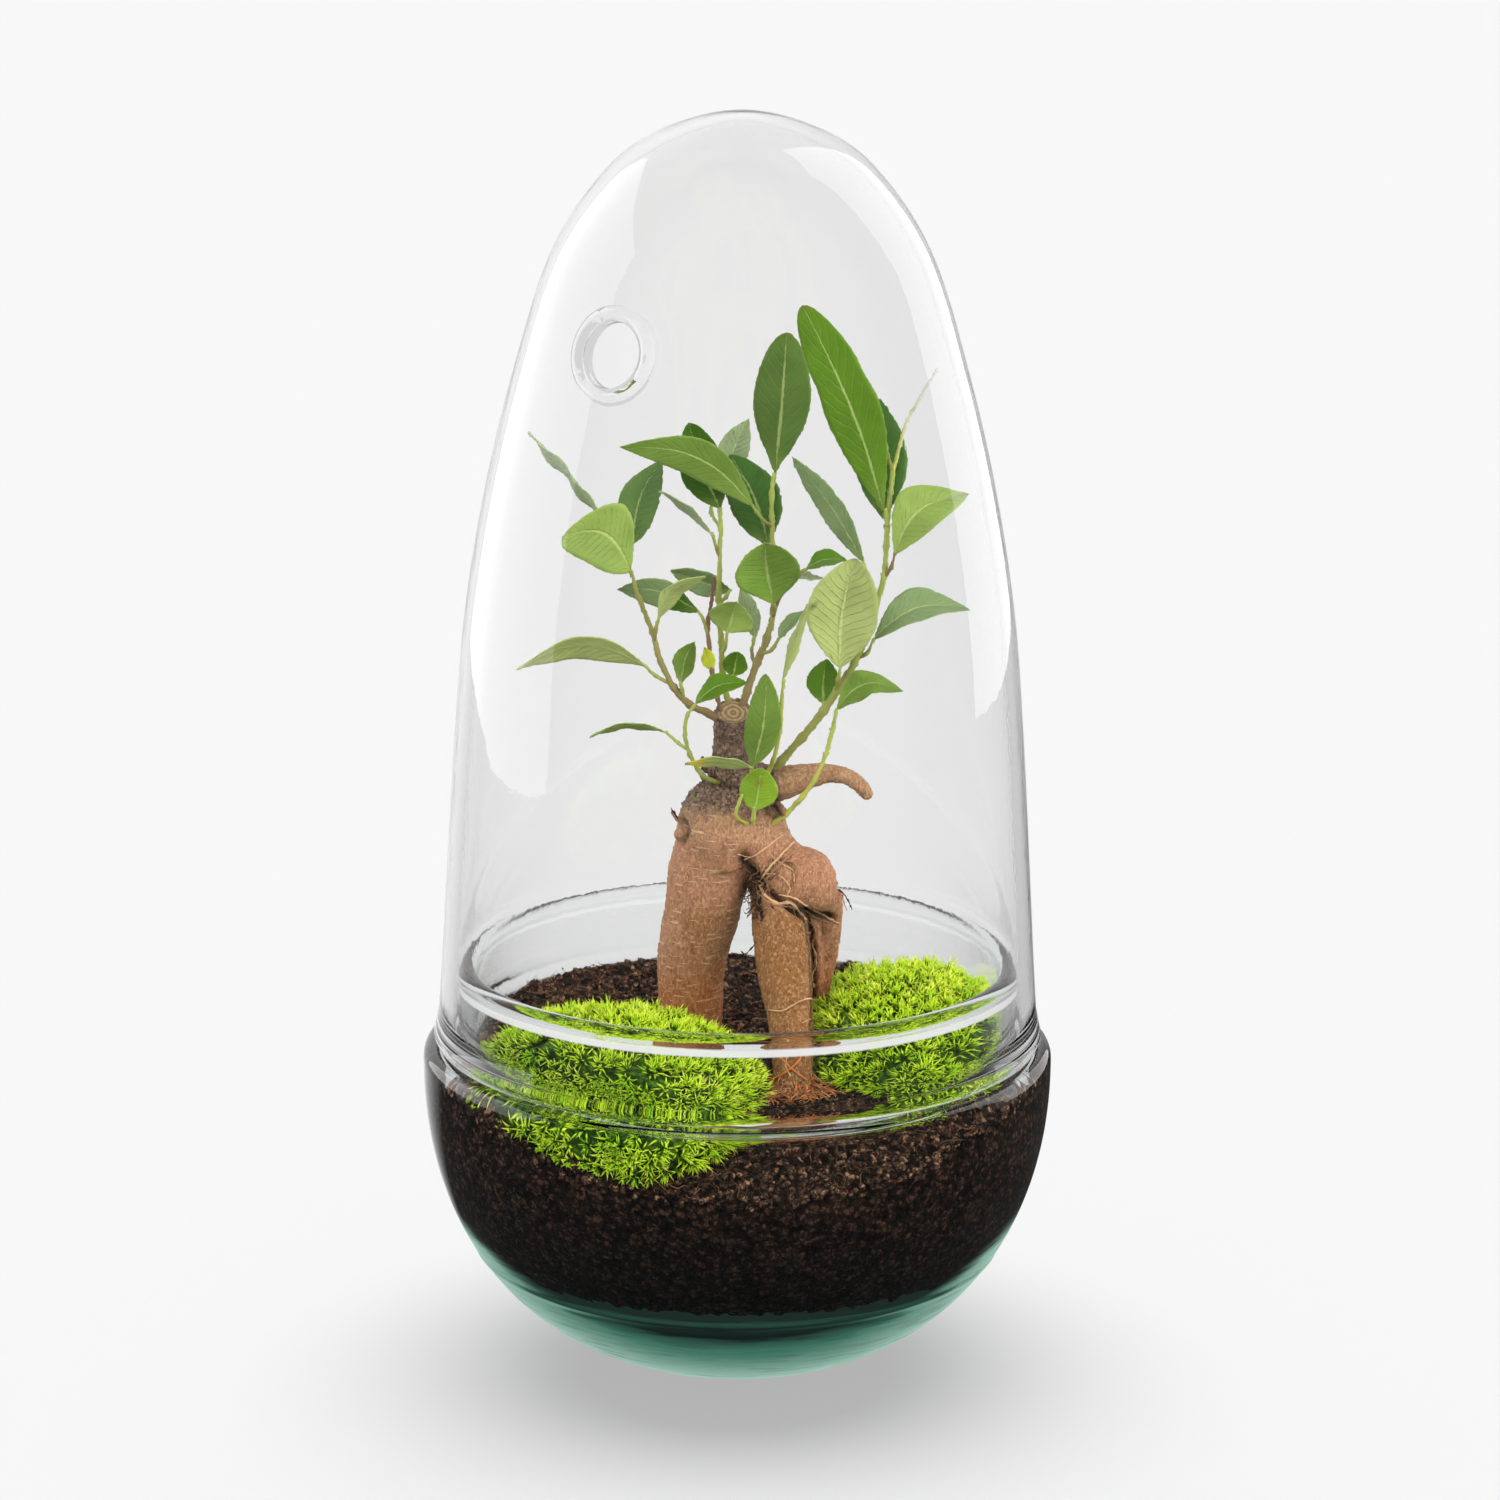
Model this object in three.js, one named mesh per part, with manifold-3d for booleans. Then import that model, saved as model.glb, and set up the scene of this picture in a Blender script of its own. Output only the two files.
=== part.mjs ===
// Egg-shaped two-part glass terrarium with a ginseng ficus, soil and moss.
// Millimetres, +Z up, the origin on the surface it stands on, under the middle of the bowl.
// The front of the terrarium faces -Y.
import * as THREE from 'three';
import { mergeVertices } from 'three/addons/utils/BufferGeometryUtils.js';
import Module from 'manifold-3d';

const wasm = await Module();
wasm.setup();

// ---- driving dimensions: glass ------------------------------------------------------
const TOTAL_HEIGHT = 300;
const BOWL_RADIUS = 75.2;
const BOWL_WIDEST = 73.4;
const BOWL_DEPTH = 75.4;
const BOWL_WALL = 3.6;
const FOOT_HEIGHT = 1.9;
const FOOT_RADIUS = 24;
const BASE_THICKNESS = 12;
const SHOULDER_TOP = 77.2;
const NECK_RADIUS = 66.4;
const NECK_WALL = 3.2;
const NECK_TOP = 97.7;
const DOME_WALL = 3.4;
const DOME_BOTTOM = 77.6;
const RIM_BEAD = 2.3;
const VENT_HEIGHT = 250;
const VENT_AZIMUTH = THREE.MathUtils.degToRad(36);
const VENT_TILT = THREE.MathUtils.degToRad(14.6);
const VENT_RADIUS = 49.7;
const VENT_HOLE = 7.5;
const VENT_LIP = 11.2;
const VENT_LIP_THICKNESS = 5.2;
const TURN_SIDES = 32;
const BOWL_INSIDE_STEPS = 6;
const VENT_SIDES = 18;

// ---- driving dimensions: soil, moss and plant ---------------------------------------
const GAP = 0.3;
const SOIL_LEVEL = 77;
const SOIL_FRONT_FALL = 0.0032;
const SOIL_BACK_RISE = 0.04;
const SOIL_SPAN = 150;
const SOIL_CELLS = 18;
const LEAF_THICKNESS = 0.7;
const LEAF_ROWS = 5;
const TWIG_SIDES = 5;
const LIMB_SIDES = 10;
const MOSS_SEED = 11;

// The plant is laid out as it is seen from the front and a little above:
// across, height on that view, and how far behind the middle it lies.
const VIEW_TILT = THREE.MathUtils.degToRad(14.15);
const VIEW_DISTANCE = 1230;
const EYE_HEIGHT = 148.6;
const TO_VIEWER = new THREE.Vector3(0, -Math.cos(VIEW_TILT), Math.sin(VIEW_TILT));

function place([across, up, away]) {
  const grow = 1 + (away * Math.cos(VIEW_TILT)) / VIEW_DISTANCE;
  const z = EYE_HEIGHT + (up - EYE_HEIGHT) * grow - away * Math.tan(VIEW_TILT);
  return new THREE.Vector3(across * grow, away, z);
}

// ---- helpers ------------------------------------------------------------------------
function solid(geometry) {
  const bare = new THREE.BufferGeometry();
  bare.setAttribute('position', geometry.getAttribute('position').clone());
  if (geometry.index) bare.setIndex(geometry.index.clone());
  const merged = mergeVertices(bare, 1e-4);
  const vertProperties = new Float32Array(merged.getAttribute('position').array);
  const triVerts = new Uint32Array(merged.index.array);
  return new wasm.Manifold(new wasm.Mesh({ numProp: 3, vertProperties, triVerts }));
}

function join(geometries) {
  let whole = solid(geometries[0]);
  for (const geometry of geometries.slice(1)) whole = whole.add(solid(geometry));
  return whole;
}

function toGeometry(body) {
  const mesh = body.getMesh();
  const geometry = new THREE.BufferGeometry();
  geometry.setAttribute('position', new THREE.BufferAttribute(new Float32Array(mesh.vertProperties), 3));
  geometry.setIndex(new THREE.BufferAttribute(new Uint32Array(mesh.triVerts), 1));
  geometry.computeVertexNormals();
  return geometry;
}

// Only the largest body is kept, so a scrap that a cut leaves behind is dropped.
function largest(body) {
  const pieces = body.decompose();
  return pieces.reduce((best, piece) => (piece.volume() > best.volume() ? piece : best));
}

function seeded(seed) {
  let state = seed;
  return () => {
    state = (state * 16807) % 2147483647;
    return state / 2147483647;
  };
}

// A profile of [radius, height] turned round the Z axis.
function turned(points, sides = TURN_SIDES) {
  const profile = points.map(([radius, height]) => new THREE.Vector2(Math.max(radius, 0), height));
  const geometry = new THREE.LatheGeometry(profile, sides);
  return geometry.rotateX(Math.PI / 2);
}

// A round limb through the points of a path, its radius running through the listed radii.
function limb(path, radii, sides = LIMB_SIDES, steps = path.length * 2, grow = 0) {
  const curve = new THREE.CatmullRomCurve3(path.map(place), false, 'centripetal');
  const frames = curve.computeFrenetFrames(steps);
  const geometry = new THREE.CylinderGeometry(1, 1, 1, sides, steps);
  const position = geometry.getAttribute('position');
  const point = new THREE.Vector3();
  for (let i = 0; i < position.count; i += 1) {
    const step = Math.round((position.getY(i) + 0.5) * steps);
    const along = (step / steps) * (radii.length - 1);
    const low = Math.min(Math.floor(along), radii.length - 2);
    const radius = THREE.MathUtils.lerp(radii[low], radii[low + 1], along - low) + grow;
    point.copy(curve.getPoint(step / steps));
    point.addScaledVector(frames.normals[step], position.getX(i) * radius);
    point.addScaledVector(frames.binormals[step], -position.getZ(i) * radius);
    position.setXYZ(i, point.x, point.y, point.z);
  }
  return geometry;
}

// A thin arched leaf blade: two like faces of triangles with a rim between them.
// width is across the flat blade, bow bends it to the viewer's left, arch bends it towards
// its upper face, roll turns it about its midrib and fold lifts both halves.
function blade({ base, tip, width, bow = 0, arch = 1, roll = 0, fold = 0.25, widest = 0.85 }) {
  const start = place(base);
  const run = place(tip).sub(start);
  const ahead = run.clone().normalize();
  const face0 = TO_VIEWER.clone().addScaledVector(ahead, -TO_VIEWER.dot(ahead)).normalize();
  const side0 = new THREE.Vector3().crossVectors(face0, ahead);
  const turn = THREE.MathUtils.degToRad(roll);
  const face = face0.clone().multiplyScalar(Math.cos(turn)).addScaledVector(side0, Math.sin(turn));
  const side = side0.clone().multiplyScalar(Math.cos(turn)).addScaledVector(face0, -Math.sin(turn));
  const sheet = new THREE.PlaneGeometry(2, 1, 2, LEAF_ROWS);
  const spots = sheet.getAttribute('position');
  const count = spots.count;
  const points = [];
  for (const level of [0.5, -0.5]) {
    for (let i = 0; i < count; i += 1) {
      const t = 0.5 - spots.getY(i);
      const across = spots.getX(i);
      const half = Math.max(0.5 * width * Math.sin(Math.PI * t ** widest) ** 0.85, 0.35);
      const point = start.clone().addScaledVector(run, t);
      point.addScaledVector(side0, bow * Math.sin(Math.PI * t));
      point.addScaledVector(face, arch * Math.sin(Math.PI * t) + fold * half * Math.abs(across));
      point.addScaledVector(side, across * half);
      point.addScaledVector(face, level * LEAF_THICKNESS);
      points.push(point.x, point.y, point.z);
    }
  }
  const faces = [];
  for (let i = 0; i < sheet.index.count; i += 3) {
    const [a, b, c] = [0, 1, 2].map((k) => sheet.index.getX(i + k));
    faces.push(a, b, c, a + count, c + count, b + count);
  }
  const rim = [0, 1, 2];
  for (let row = 1; row <= LEAF_ROWS; row += 1) rim.push(row * 3 + 2);
  rim.push(LEAF_ROWS * 3 + 1, LEAF_ROWS * 3);
  for (let row = LEAF_ROWS - 1; row > 0; row -= 1) rim.push(row * 3);
  rim.forEach((a, k) => {
    const b = rim[(k + 1) % rim.length];
    faces.push(a, b, b + count, a, b + count, a + count);
  });
  const geometry = new THREE.BufferGeometry();
  geometry.setAttribute('position', new THREE.Float32BufferAttribute(points, 3));
  geometry.setIndex(faces);
  return geometry;
}

// ---- glass --------------------------------------------------------------------------
// The bowl's outside from its flat foot to its widest ring is a superellipse.
function bowlOutside(t) {
  const radius = BOWL_RADIUS * Math.sin(t) ** (2 / 2.42);
  const height = BOWL_WIDEST - BOWL_DEPTH * Math.cos(t) ** (2 / 2.15);
  return [radius, height];
}

function bowlInside(t, clearance = 0) {
  const shrink = BOWL_WALL + clearance;
  const radius = (BOWL_RADIUS - shrink) * Math.sin(t) ** (2 / 2.42);
  const depth = BOWL_WIDEST - BASE_THICKNESS - clearance;
  const height = BOWL_WIDEST - depth * Math.cos(t) ** (2 / 2.15);
  return [radius, height];
}

function steps(from, to, count) {
  return Array.from({ length: count + 1 }, (_, i) => from + ((to - from) * i) / count);
}

function glassBowl() {
  const outside = steps(0.34, Math.PI / 2, 8).map(bowlOutside);
  const inside = steps(Math.PI / 2, 0, BOWL_INSIDE_STEPS).map((t) => bowlInside(t));
  const neckInside = NECK_RADIUS - NECK_WALL;
  return turned([
    [0, 0],
    [FOOT_RADIUS, 0],
    ...outside.filter(([, height]) => height > FOOT_HEIGHT),
    [BOWL_RADIUS - 0.9, 76.0],
    [BOWL_RADIUS - 3, SHOULDER_TOP],
    [NECK_RADIUS + 1.2, SHOULDER_TOP + 0.4],
    [NECK_RADIUS, 79.5],
    [NECK_RADIUS, NECK_TOP - 1.4],
    [NECK_RADIUS - 0.6, NECK_TOP - 0.2],
    [NECK_RADIUS - 1.6, NECK_TOP],
    [NECK_RADIUS - 2.6, NECK_TOP - 0.2],
    [neckInside, NECK_TOP - 1.4],
    [neckInside, 78.6],
    [neckInside + 1.6, 76.2],
    ...inside,
  ]);
}

// Points of the dome's outside, from its rim to its crown, and one past the crown
// so that the curve is level there.
const DOME_POINTS = [
  [72, DOME_BOTTOM], [70.6, 98], [69, 125], [67.2, 153], [64.7, 181.7], [60.1, 210],
  [53.3, 238.5], [44.2, 267], [31.8, 285.8], [18.9, 295.3], [0, TOTAL_HEIGHT], [-18.9, 295.3],
];

function domeProfile(offset, fractions) {
  const curve = new THREE.SplineCurve(DOME_POINTS.map(([r, h]) => new THREE.Vector2(r, h)));
  const crown = (DOME_POINTS.length - 2) / (DOME_POINTS.length - 1);
  return fractions.map((fraction) => {
    const point = curve.getPoint(fraction * crown);
    const ahead = curve.getTangent(fraction * crown);
    return [fraction === 1 ? 0 : point.x - ahead.y * offset, point.y + ahead.x * offset];
  });
}

function atVent(geometry) {
  geometry.rotateX(Math.PI / 2 - VENT_TILT);
  const outward = new THREE.Vector3(0, -VENT_RADIUS, VENT_HEIGHT);
  geometry.translate(outward.x, outward.y, outward.z);
  return geometry.rotateZ(-VENT_AZIMUTH);
}

function glassDome() {
  const outside = domeProfile(0, steps(0.05, 1, 12));
  const inside = domeProfile(DOME_WALL, steps(1, 0.05, 10));
  const rimMiddle = 72 - DOME_WALL / 2;
  const bead = steps(-0.15 * Math.PI, 1.15 * Math.PI, 5).map((angle) => [
    rimMiddle + RIM_BEAD * Math.cos(angle),
    DOME_BOTTOM + GAP + RIM_BEAD - RIM_BEAD * Math.sin(angle),
  ]);
  const shell = solid(turned([...inside, ...bead.reverse(), ...outside]));
  const hole = solid(atVent(turned([[0, -20], [VENT_HOLE, -20], [VENT_HOLE, 20], [0, 20]], VENT_SIDES)));
  const middle = (VENT_HOLE + VENT_LIP) / 2;
  const halfWidth = (VENT_LIP - VENT_HOLE) / 2;
  const ring = steps(0, 2 * Math.PI, 6).map((angle) => [
    middle + halfWidth * Math.cos(angle),
    -DOME_WALL / 2 + (VENT_LIP_THICKNESS / 2) * Math.sin(angle),
  ]);
  ring[ring.length - 1] = [...ring[0]];
  const lip = solid(atVent(turned(ring, VENT_SIDES)));
  return largest(shell.subtract(hole).add(lip));
}

// ---- soil ---------------------------------------------------------------------------
function soilHeight(x, y) {
  const slope = y > 0 ? SOIL_BACK_RISE * y : -SOIL_FRONT_FALL * y * y;
  const mound = 2.4 * Math.exp(-((x + 38) ** 2 + (y - 22) ** 2) / 420);
  const bumps = 0.6 * Math.sin(0.31 * x + 1.3) * Math.cos(0.27 * y) + 0.35 * Math.sin(0.7 * x - 0.55 * y);
  return SOIL_LEVEL + slope + mound + bumps;
}

function insideOfBowl(clearance) {
  const neck = NECK_RADIUS - NECK_WALL - clearance;
  return solid(turned([
    ...steps(0, Math.PI / 2, BOWL_INSIDE_STEPS).map((t) => bowlInside(t, clearance)),
    [neck + 1.2, 75.8],
    [neck, 78.2],
    [neck, NECK_TOP + 5],
    [0, NECK_TOP + 5],
  ]));
}

function soilBody(lift = 0) {
  const bottom = 5;
  const geometry = new THREE.BoxGeometry(SOIL_SPAN, SOIL_SPAN, 1, SOIL_CELLS, SOIL_CELLS, 1);
  const position = geometry.getAttribute('position');
  for (let i = 0; i < position.count; i += 1) {
    const x = position.getX(i);
    const y = position.getY(i);
    position.setZ(i, position.getZ(i) > 0 ? soilHeight(x, y) + lift : bottom);
  }
  return solid(geometry);
}

// ---- trunk with its swollen roots -----------------------------------------------------
const TRUNK_LIMBS = {
  leftLeg: {
    path: [[-3, 128, 0], [-6.4, 119, 0], [-8.4, 110, 0], [-10.2, 102, 0.5], [-11.2, 94, 1],
      [-11.4, 86, 1.5], [-11.2, 76, 2], [-11, 64, 2]],
    radii: [11, 10.2, 9.2, 8.5, 8.2, 8, 7.6, 6.2],
  },
  body: {
    path: [[0.8, 145, 0], [0.8, 140, 0], [-0.8, 134.5, 0], [-1.7, 129, 0], [-1, 122, 0]],
    radii: [6.2, 8.2, 12, 13.2, 12],
  },
  stump: {
    path: [[-1.4, 160.5, 0.5], [-1.6, 154, 0], [-1.6, 148, 0], [-0.6, 142, 0]],
    radii: [4.1, 4.3, 4.5, 6.4],
  },
  haunch: {
    path: [[2, 122, -1], [7, 119.4, -4], [11.4, 117.4, -6], [16.6, 115.5, -6], [20, 112.5, -5.5]],
    radii: [9, 7.6, 7.8, 9.1, 5.5],
  },
  frontLeg: {
    path: [[8.6, 117, -6], [9.6, 109, -9], [10.6, 101, -13], [11.6, 93, -17], [12.6, 84, -22],
      [13.1, 76, -26], [13.2, 66, -31], [13, 54, -36]],
    radii: [6.6, 6.9, 6.7, 6.4, 5.7, 5.2, 4.5, 3.2],
  },
  backRoot: {
    path: [[20.5, 113, -1], [21.8, 106, 1], [21.3, 98, 3], [20, 90, 4], [18.8, 82, 5], [17.2, 66, 6]],
    radii: [4.2, 2.9, 2.3, 2.0, 1.9, 1.6],
  },
  arm: {
    path: [[5, 140, -1], [11, 141, -2], [16, 142.4, -3], [21, 143.2, -4], [25.5, 142.4, -5],
      [28.8, 140.3, -5], [31, 137.4, -5]],
    radii: [5.2, 4.1, 3.2, 2.4, 2.0, 1.8, 1.2],
  },
};

function trunkBody(grow = 0) {
  const limbs = Object.values(TRUNK_LIMBS).map(({ path, radii }) => {
    const rings = Math.max(5, Math.round(path.length * 1.3));
    return limb(path, radii, LIMB_SIDES, rings, grow);
  });
  return join(limbs);
}

// The pruned top of the stump is a slanting cut.
function pruningCut() {
  const block = new THREE.BoxGeometry(30, 30, 12);
  block.translate(0, 0, 6);
  block.rotateX(THREE.MathUtils.degToRad(48));
  const middle = place([-1, 158.6, -0.4]);
  return solid(block.translate(middle.x, middle.y, middle.z));
}

// ---- leafy stems ----------------------------------------------------------------------
// twigs: the stem and its side twigs and leaf stalks, each with its first and last radius.
const STEMS = {
  leafy_stem_left: {
    twigs: [
      { path: [[-3.4, 154.6, -1.5], [-7, 157.5, -1], [-11.6, 159.6, -2], [-15.5, 164, -3],
        [-18.5, 170, -3.5], [-20.5, 177, -4], [-23.5, 185, -4.5], [-25.5, 191.8, -5]], radii: [1.3, 0.7] },
      { path: [[-16.6, 165, -3], [-19.5, 166.5, -4], [-22.4, 169.2, -5]], radii: [0.6, 0.5] },
      { path: [[-20, 175, -4], [-19.7, 178, -5.6], [-18.9, 181, -7]], radii: [0.6, 0.5] },
      { path: [[-12.8, 161, -2.3], [-13.6, 163.5, -3.4], [-13.9, 165.6, -4]], radii: [0.6, 0.5] },
      { path: [[-25.2, 190.5, -5], [-28.5, 198, -1], [-32.2, 204.4, 0]], radii: [0.6, 0.5] },
      { path: [[-24.6, 188.5, -4.7], [-26, 193, 0], [-25, 198.4, 5]], radii: [0.6, 0.5] },
    ],
    leaves: [
      { base: [-25.5, 191.5, -5], tip: [-41.4, 199.8, -9], width: 16, bow: -5.2, arch: -2, fold: 0.3 },
      { base: [-22, 169, -5], tip: [-52, 168, -13], width: 10, bow: -6.4, arch: 1, roll: 58 },
      { base: [-19, 180.4, -7], tip: [-8, 190.6, -11], width: 6.5, bow: 3.6, arch: 1, roll: -55 },
      { base: [-13.9, 165, -4], tip: [-10.6, 174.8, -6], width: 5.6, bow: 0.8, arch: -0.6, roll: 15 },
      { base: [-32, 204, 0], tip: [-50, 225, 2], width: 5, bow: -1.4, arch: 0.6, roll: 65 },
      { base: [-25, 198, 5], tip: [-18.6, 218, 8], width: 9.6, bow: 2.0, arch: 1 },
    ],
  },
  leafy_shoot_left: {
    twigs: [
      { path: [[-4.5, 140.6, -3.5], [-8.5, 142.5, -6], [-11.5, 147.5, -7], [-12.8, 152.5, -8],
        [-12.2, 157, -8.6], [-10, 160.2, -9]], radii: [0.8, 0.5] },
      { path: [[-12, 148.6, -7.2], [-14.5, 150.4, -7], [-17.4, 153.2, -7]], radii: [0.5, 0.45] },
    ],
    leaves: [
      { base: [-10.3, 160, -9], tip: [2, 165, -9.5], width: 6, bow: 1.4, arch: 0.8, roll: 30 },
      { base: [-17, 153, -7], tip: [-35.2, 151.8, -8], width: 4.6, bow: -2.8, arch: 0.4, roll: 72 },
    ],
  },
  leafy_shoot_front: {
    twigs: [{ path: [[2.2, 139.5, -5], [2.8, 142, -8.5], [3.2, 145, -11]], radii: [0.9, 0.6] }],
    leaves: [
      { base: [3.2, 144.4, -11], tip: [6.2, 167.2, -13], width: 8.4, bow: -1.1, arch: 1 },
      { base: [3.1, 144.6, -11], tip: [-12.6, 145.4, -14], width: 5.2, bow: -1.8, arch: 0.6, roll: 60 },
    ],
  },
  leafy_shoot_low: {
    twigs: [
      { path: [[3.4, 129.5, -9], [3.5, 132, -12.4], [3.7, 135, -14]], radii: [0.8, 0.6] },
      { path: [[3.3, 130.4, -10], [-0.6, 132.6, -14], [0.8, 138, -15]], radii: [0.6, 0.45] },
    ],
    leaves: [
      { base: [3.5, 133.8, -13.6], tip: [5.4, 144.4, -16], width: 9.2, bow: -0.3, arch: -1, fold: 0.3 },
    ],
  },
  leafy_stem_right: {
    twigs: [
      { path: [[6.6, 141, -2], [10, 146, -3], [15, 152, -4], [20, 158.5, -5], [23.2, 163.5, -5.5],
        [27, 170, -6], [30, 177, -6], [32, 184, -5.5], [33.8, 191, -5], [34.2, 198, -4],
        [34.4, 205, -3], [35, 211, -3], [35.6, 217, -3]], radii: [1.4, 0.7] },
      { path: [[34.4, 203, -3.2], [33.8, 207, -4.6]], radii: [0.8, 0.6] },
      { path: [[35.5, 216, -3], [33.8, 222, -4], [32.5, 228, -4]], radii: [0.6, 0.4] },
      { path: [[35.5, 216, -3], [37, 222, -3], [38.2, 226.6, -2], [42, 234, 0], [46, 240.5, 1]],
        radii: [0.6, 0.4] },
      { path: [[22.7, 162.6, -5.4], [23.3, 166, -8], [23.7, 169, -9.6]], radii: [0.7, 0.6] },
      { path: [[19.4, 157.6, -5], [20, 160.4, -2]], radii: [0.7, 0.6] },
      { path: [[27.5, 171, -6], [29.8, 172.3, -6.5], [31.6, 176, -7]], radii: [0.6, 0.5] },
      { path: [[33.6, 190, -5], [35.4, 193, -6], [36.2, 196.4, -7]], radii: [0.6, 0.5] },
      { path: [[31, 180.5, -5.8], [30.8, 187, -2], [28.8, 194.4, 2]], radii: [0.6, 0.5] },
    ],
    leaves: [
      { base: [23.6, 168.5, -9.5], tip: [26.8, 195, -15], width: 16.8, bow: 1.2, arch: -1.4, fold: 0.2 },
      { base: [20, 159.8, -2], tip: [20.6, 170.8, 2], width: 7.8, bow: 0.6, arch: -0.6 },
      { base: [31.4, 175.6, -7], tip: [54, 183, -3], width: 10, bow: 3.4, arch: 1, roll: 38, fold: 0.35 },
      { base: [36, 196, -7], tip: [53.4, 210.4, -4], width: 12, bow: 4, arch: 1.2, roll: 20 },
      { base: [33.6, 205.6, -4.5], tip: [14, 254.6, -13], width: 13, bow: -1.8, arch: 2, fold: 0.2,
        widest: 1.12 },
      { base: [33.4, 204.6, -2], tip: [31, 233.6, 7], width: 12.4, bow: -0.4, arch: 1 },
      { base: [29, 194, 2], tip: [12, 219.2, 6], width: 6.4, bow: -1.5, arch: 0.8, roll: 25 },
    ],
  },
  leafy_shoot_right: {
    twigs: [{ path: [[7.5, 130.5, -7], [11, 133, -9], [15, 137.5, -10], [18, 142, -11], [20.5, 148, -11.5],
      [22, 154, -12], [22.9, 159, -12]], radii: [0.9, 0.6] }],
    leaves: [{ base: [22.9, 158.6, -12], tip: [37.4, 164.6, -13], width: 7, bow: 2.9, arch: 0.8, roll: 22 }],
  },
  leafy_stem_middle: {
    twigs: [
      { path: [[0, 157.5, 2], [1.8, 163, 3], [4.2, 170, 4], [6.5, 176, 4.5], [8, 183, 5], [8, 190, 5.5],
        [7.6, 198, 6], [7.4, 205, 6], [7.3, 210.5, 6], [8, 215.4, 6]], radii: [1.3, 0.7] },
      { path: [[7.5, 202.6, 6], [5, 204.5, 3], [2.6, 207.8, 0]], radii: [0.6, 0.5] },
      { path: [[8, 181, 4.8], [8.2, 183, 2], [7.9, 184.2, 1]], radii: [0.6, 0.5] },
      { path: [[8, 183.5, 5], [10.5, 187.5, 4], [13, 191, 3], [15.9, 192.7, 3]], radii: [0.9, 0.5] },
      { path: [[3.8, 169, 4], [2.9, 172.5, 6], [3.6, 176.4, 8]], radii: [0.6, 0.5] },
      { path: [[5, 172, 4.2], [7.5, 173, 2], [9.2, 175.8, 1]], radii: [0.6, 0.5] },
    ],
    leaves: [
      { base: [8, 214.8, 6], tip: [10.6, 248.4, 3], width: 13.4, bow: -0.2, arch: 1 },
      { base: [3, 207.4, 0], tip: [-28, 221.2, -8], width: 9.4, bow: -5.4, arch: 1.4, roll: 15 },
      { base: [6.6, 198, 7], tip: [-2.6, 219.6, 12], width: 12.4, bow: -1.4, arch: 1 },
      { base: [7.9, 183.6, 1], tip: [5.8, 198.6, -4], width: 15.6, bow: 0.4, arch: -1.6, fold: 0.4 },
      { base: [15.5, 192.5, 3], tip: [25.2, 194.6, 4], width: 6.6, bow: 0.7, arch: 0.6, roll: 50 },
      { base: [13, 190.4, 3.4], tip: [19.2, 190.2, 7], width: 3.2, arch: 0.3, roll: 50 },
      { base: [3.8, 175.6, 8], tip: [0.2, 188.2, 9], width: 5, bow: -0.6, arch: 0.4, roll: 20 },
      { base: [9, 175.3, 1], tip: [15.4, 182.5, 0], width: 4, bow: 0.4, arch: 0.4, roll: 45 },
    ],
  },
  leafy_shoot_middle: {
    twigs: [{ path: [[5.2, 140.5, -5.5], [8, 146, -7.6], [9.6, 153, -8], [10, 160, -8], [10.4, 166, -8]],
      radii: [0.8, 0.55] }],
    leaves: [{ base: [10.2, 165.4, -8], tip: [16, 184.2, -7], width: 4.4, bow: -0.8, arch: 0.6, roll: 55 }],
  },
  leafy_stem_back: {
    twigs: [
      { path: [[-2, 157.5, 3.2], [-3.8, 166, 3], [-4.3, 175, 3], [-5, 185, 3], [-4.8, 195, 3],
        [-4.6, 202, 3], [-4.8, 207.2, 3]], radii: [1.1, 0.7] },
      { path: [[-4.6, 202, 3], [-7, 206, 9], [-6, 210, 15], [-3.4, 213.6, 17]], radii: [0.6, 0.5] },
      { path: [[-4.9, 194.5, 3], [-5.8, 198, 2], [-6.7, 201, 1]], radii: [0.6, 0.5] },
      { path: [[-4.9, 184, 3], [-3.4, 185.6, 4], [-2.2, 187.4, 5]], radii: [0.6, 0.5] },
      { path: [[-4.2, 172, 3], [-3.2, 174, 1], [-2.9, 177.6, -1]], radii: [0.6, 0.5] },
      { path: [[-3.6, 164, 3], [-2.4, 165, 1.6], [-1.4, 166.9, 1]], radii: [0.6, 0.5] },
    ],
    leaves: [
      { base: [-4.8, 206.6, 3], tip: [-12, 227, 4], width: 11, bow: 0.6, arch: 0.8 },
      { base: [-3.6, 213, 17], tip: [1.9, 228.2, 19], width: 7.4, bow: 0.8, arch: 0.8 },
      { base: [-6.6, 200.6, 1], tip: [-19, 211, -1], width: 4, bow: -1.6, arch: 0.5, roll: 65 },
      { base: [-2, 187.2, 5], tip: [-16.4, 192, 8], width: 7, bow: 0.4, arch: -0.5, roll: 35 },
      { base: [-3, 177, -1], tip: [-0.8, 184.4, -4], width: 11, bow: 0, arch: -0.8, fold: 0.45 },
      { base: [-1.5, 166.4, 1], tip: [-0.5, 172.6, 0], width: 6, arch: -0.4 },
    ],
  },
  leafy_shoot_back: {
    twigs: [
      { path: [[-4.2, 157.6, 0.8], [-5.5, 163, 0], [-6.5, 168, -0.2], [-7.3, 175, 0], [-7.5, 179.5, 0],
        [-6.8, 184, -0.2], [-5.9, 190.4, -0.4]], radii: [0.9, 0.5] },
      { path: [[-7.4, 176.5, 0], [-8.6, 180, -0.4], [-9.8, 182.4, -0.2]], radii: [0.6, 0.5] },
    ],
    leaves: [
      { base: [-9.5, 182, -0.3], tip: [-29, 187.4, 3], width: 7.4, bow: -2.6, arch: 0.8, roll: 28 },
      { base: [-6.6, 168, -0.6], tip: [-8.2, 173.4, -1.6], width: 3.2, arch: -0.3 },
    ],
  },
};

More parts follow.
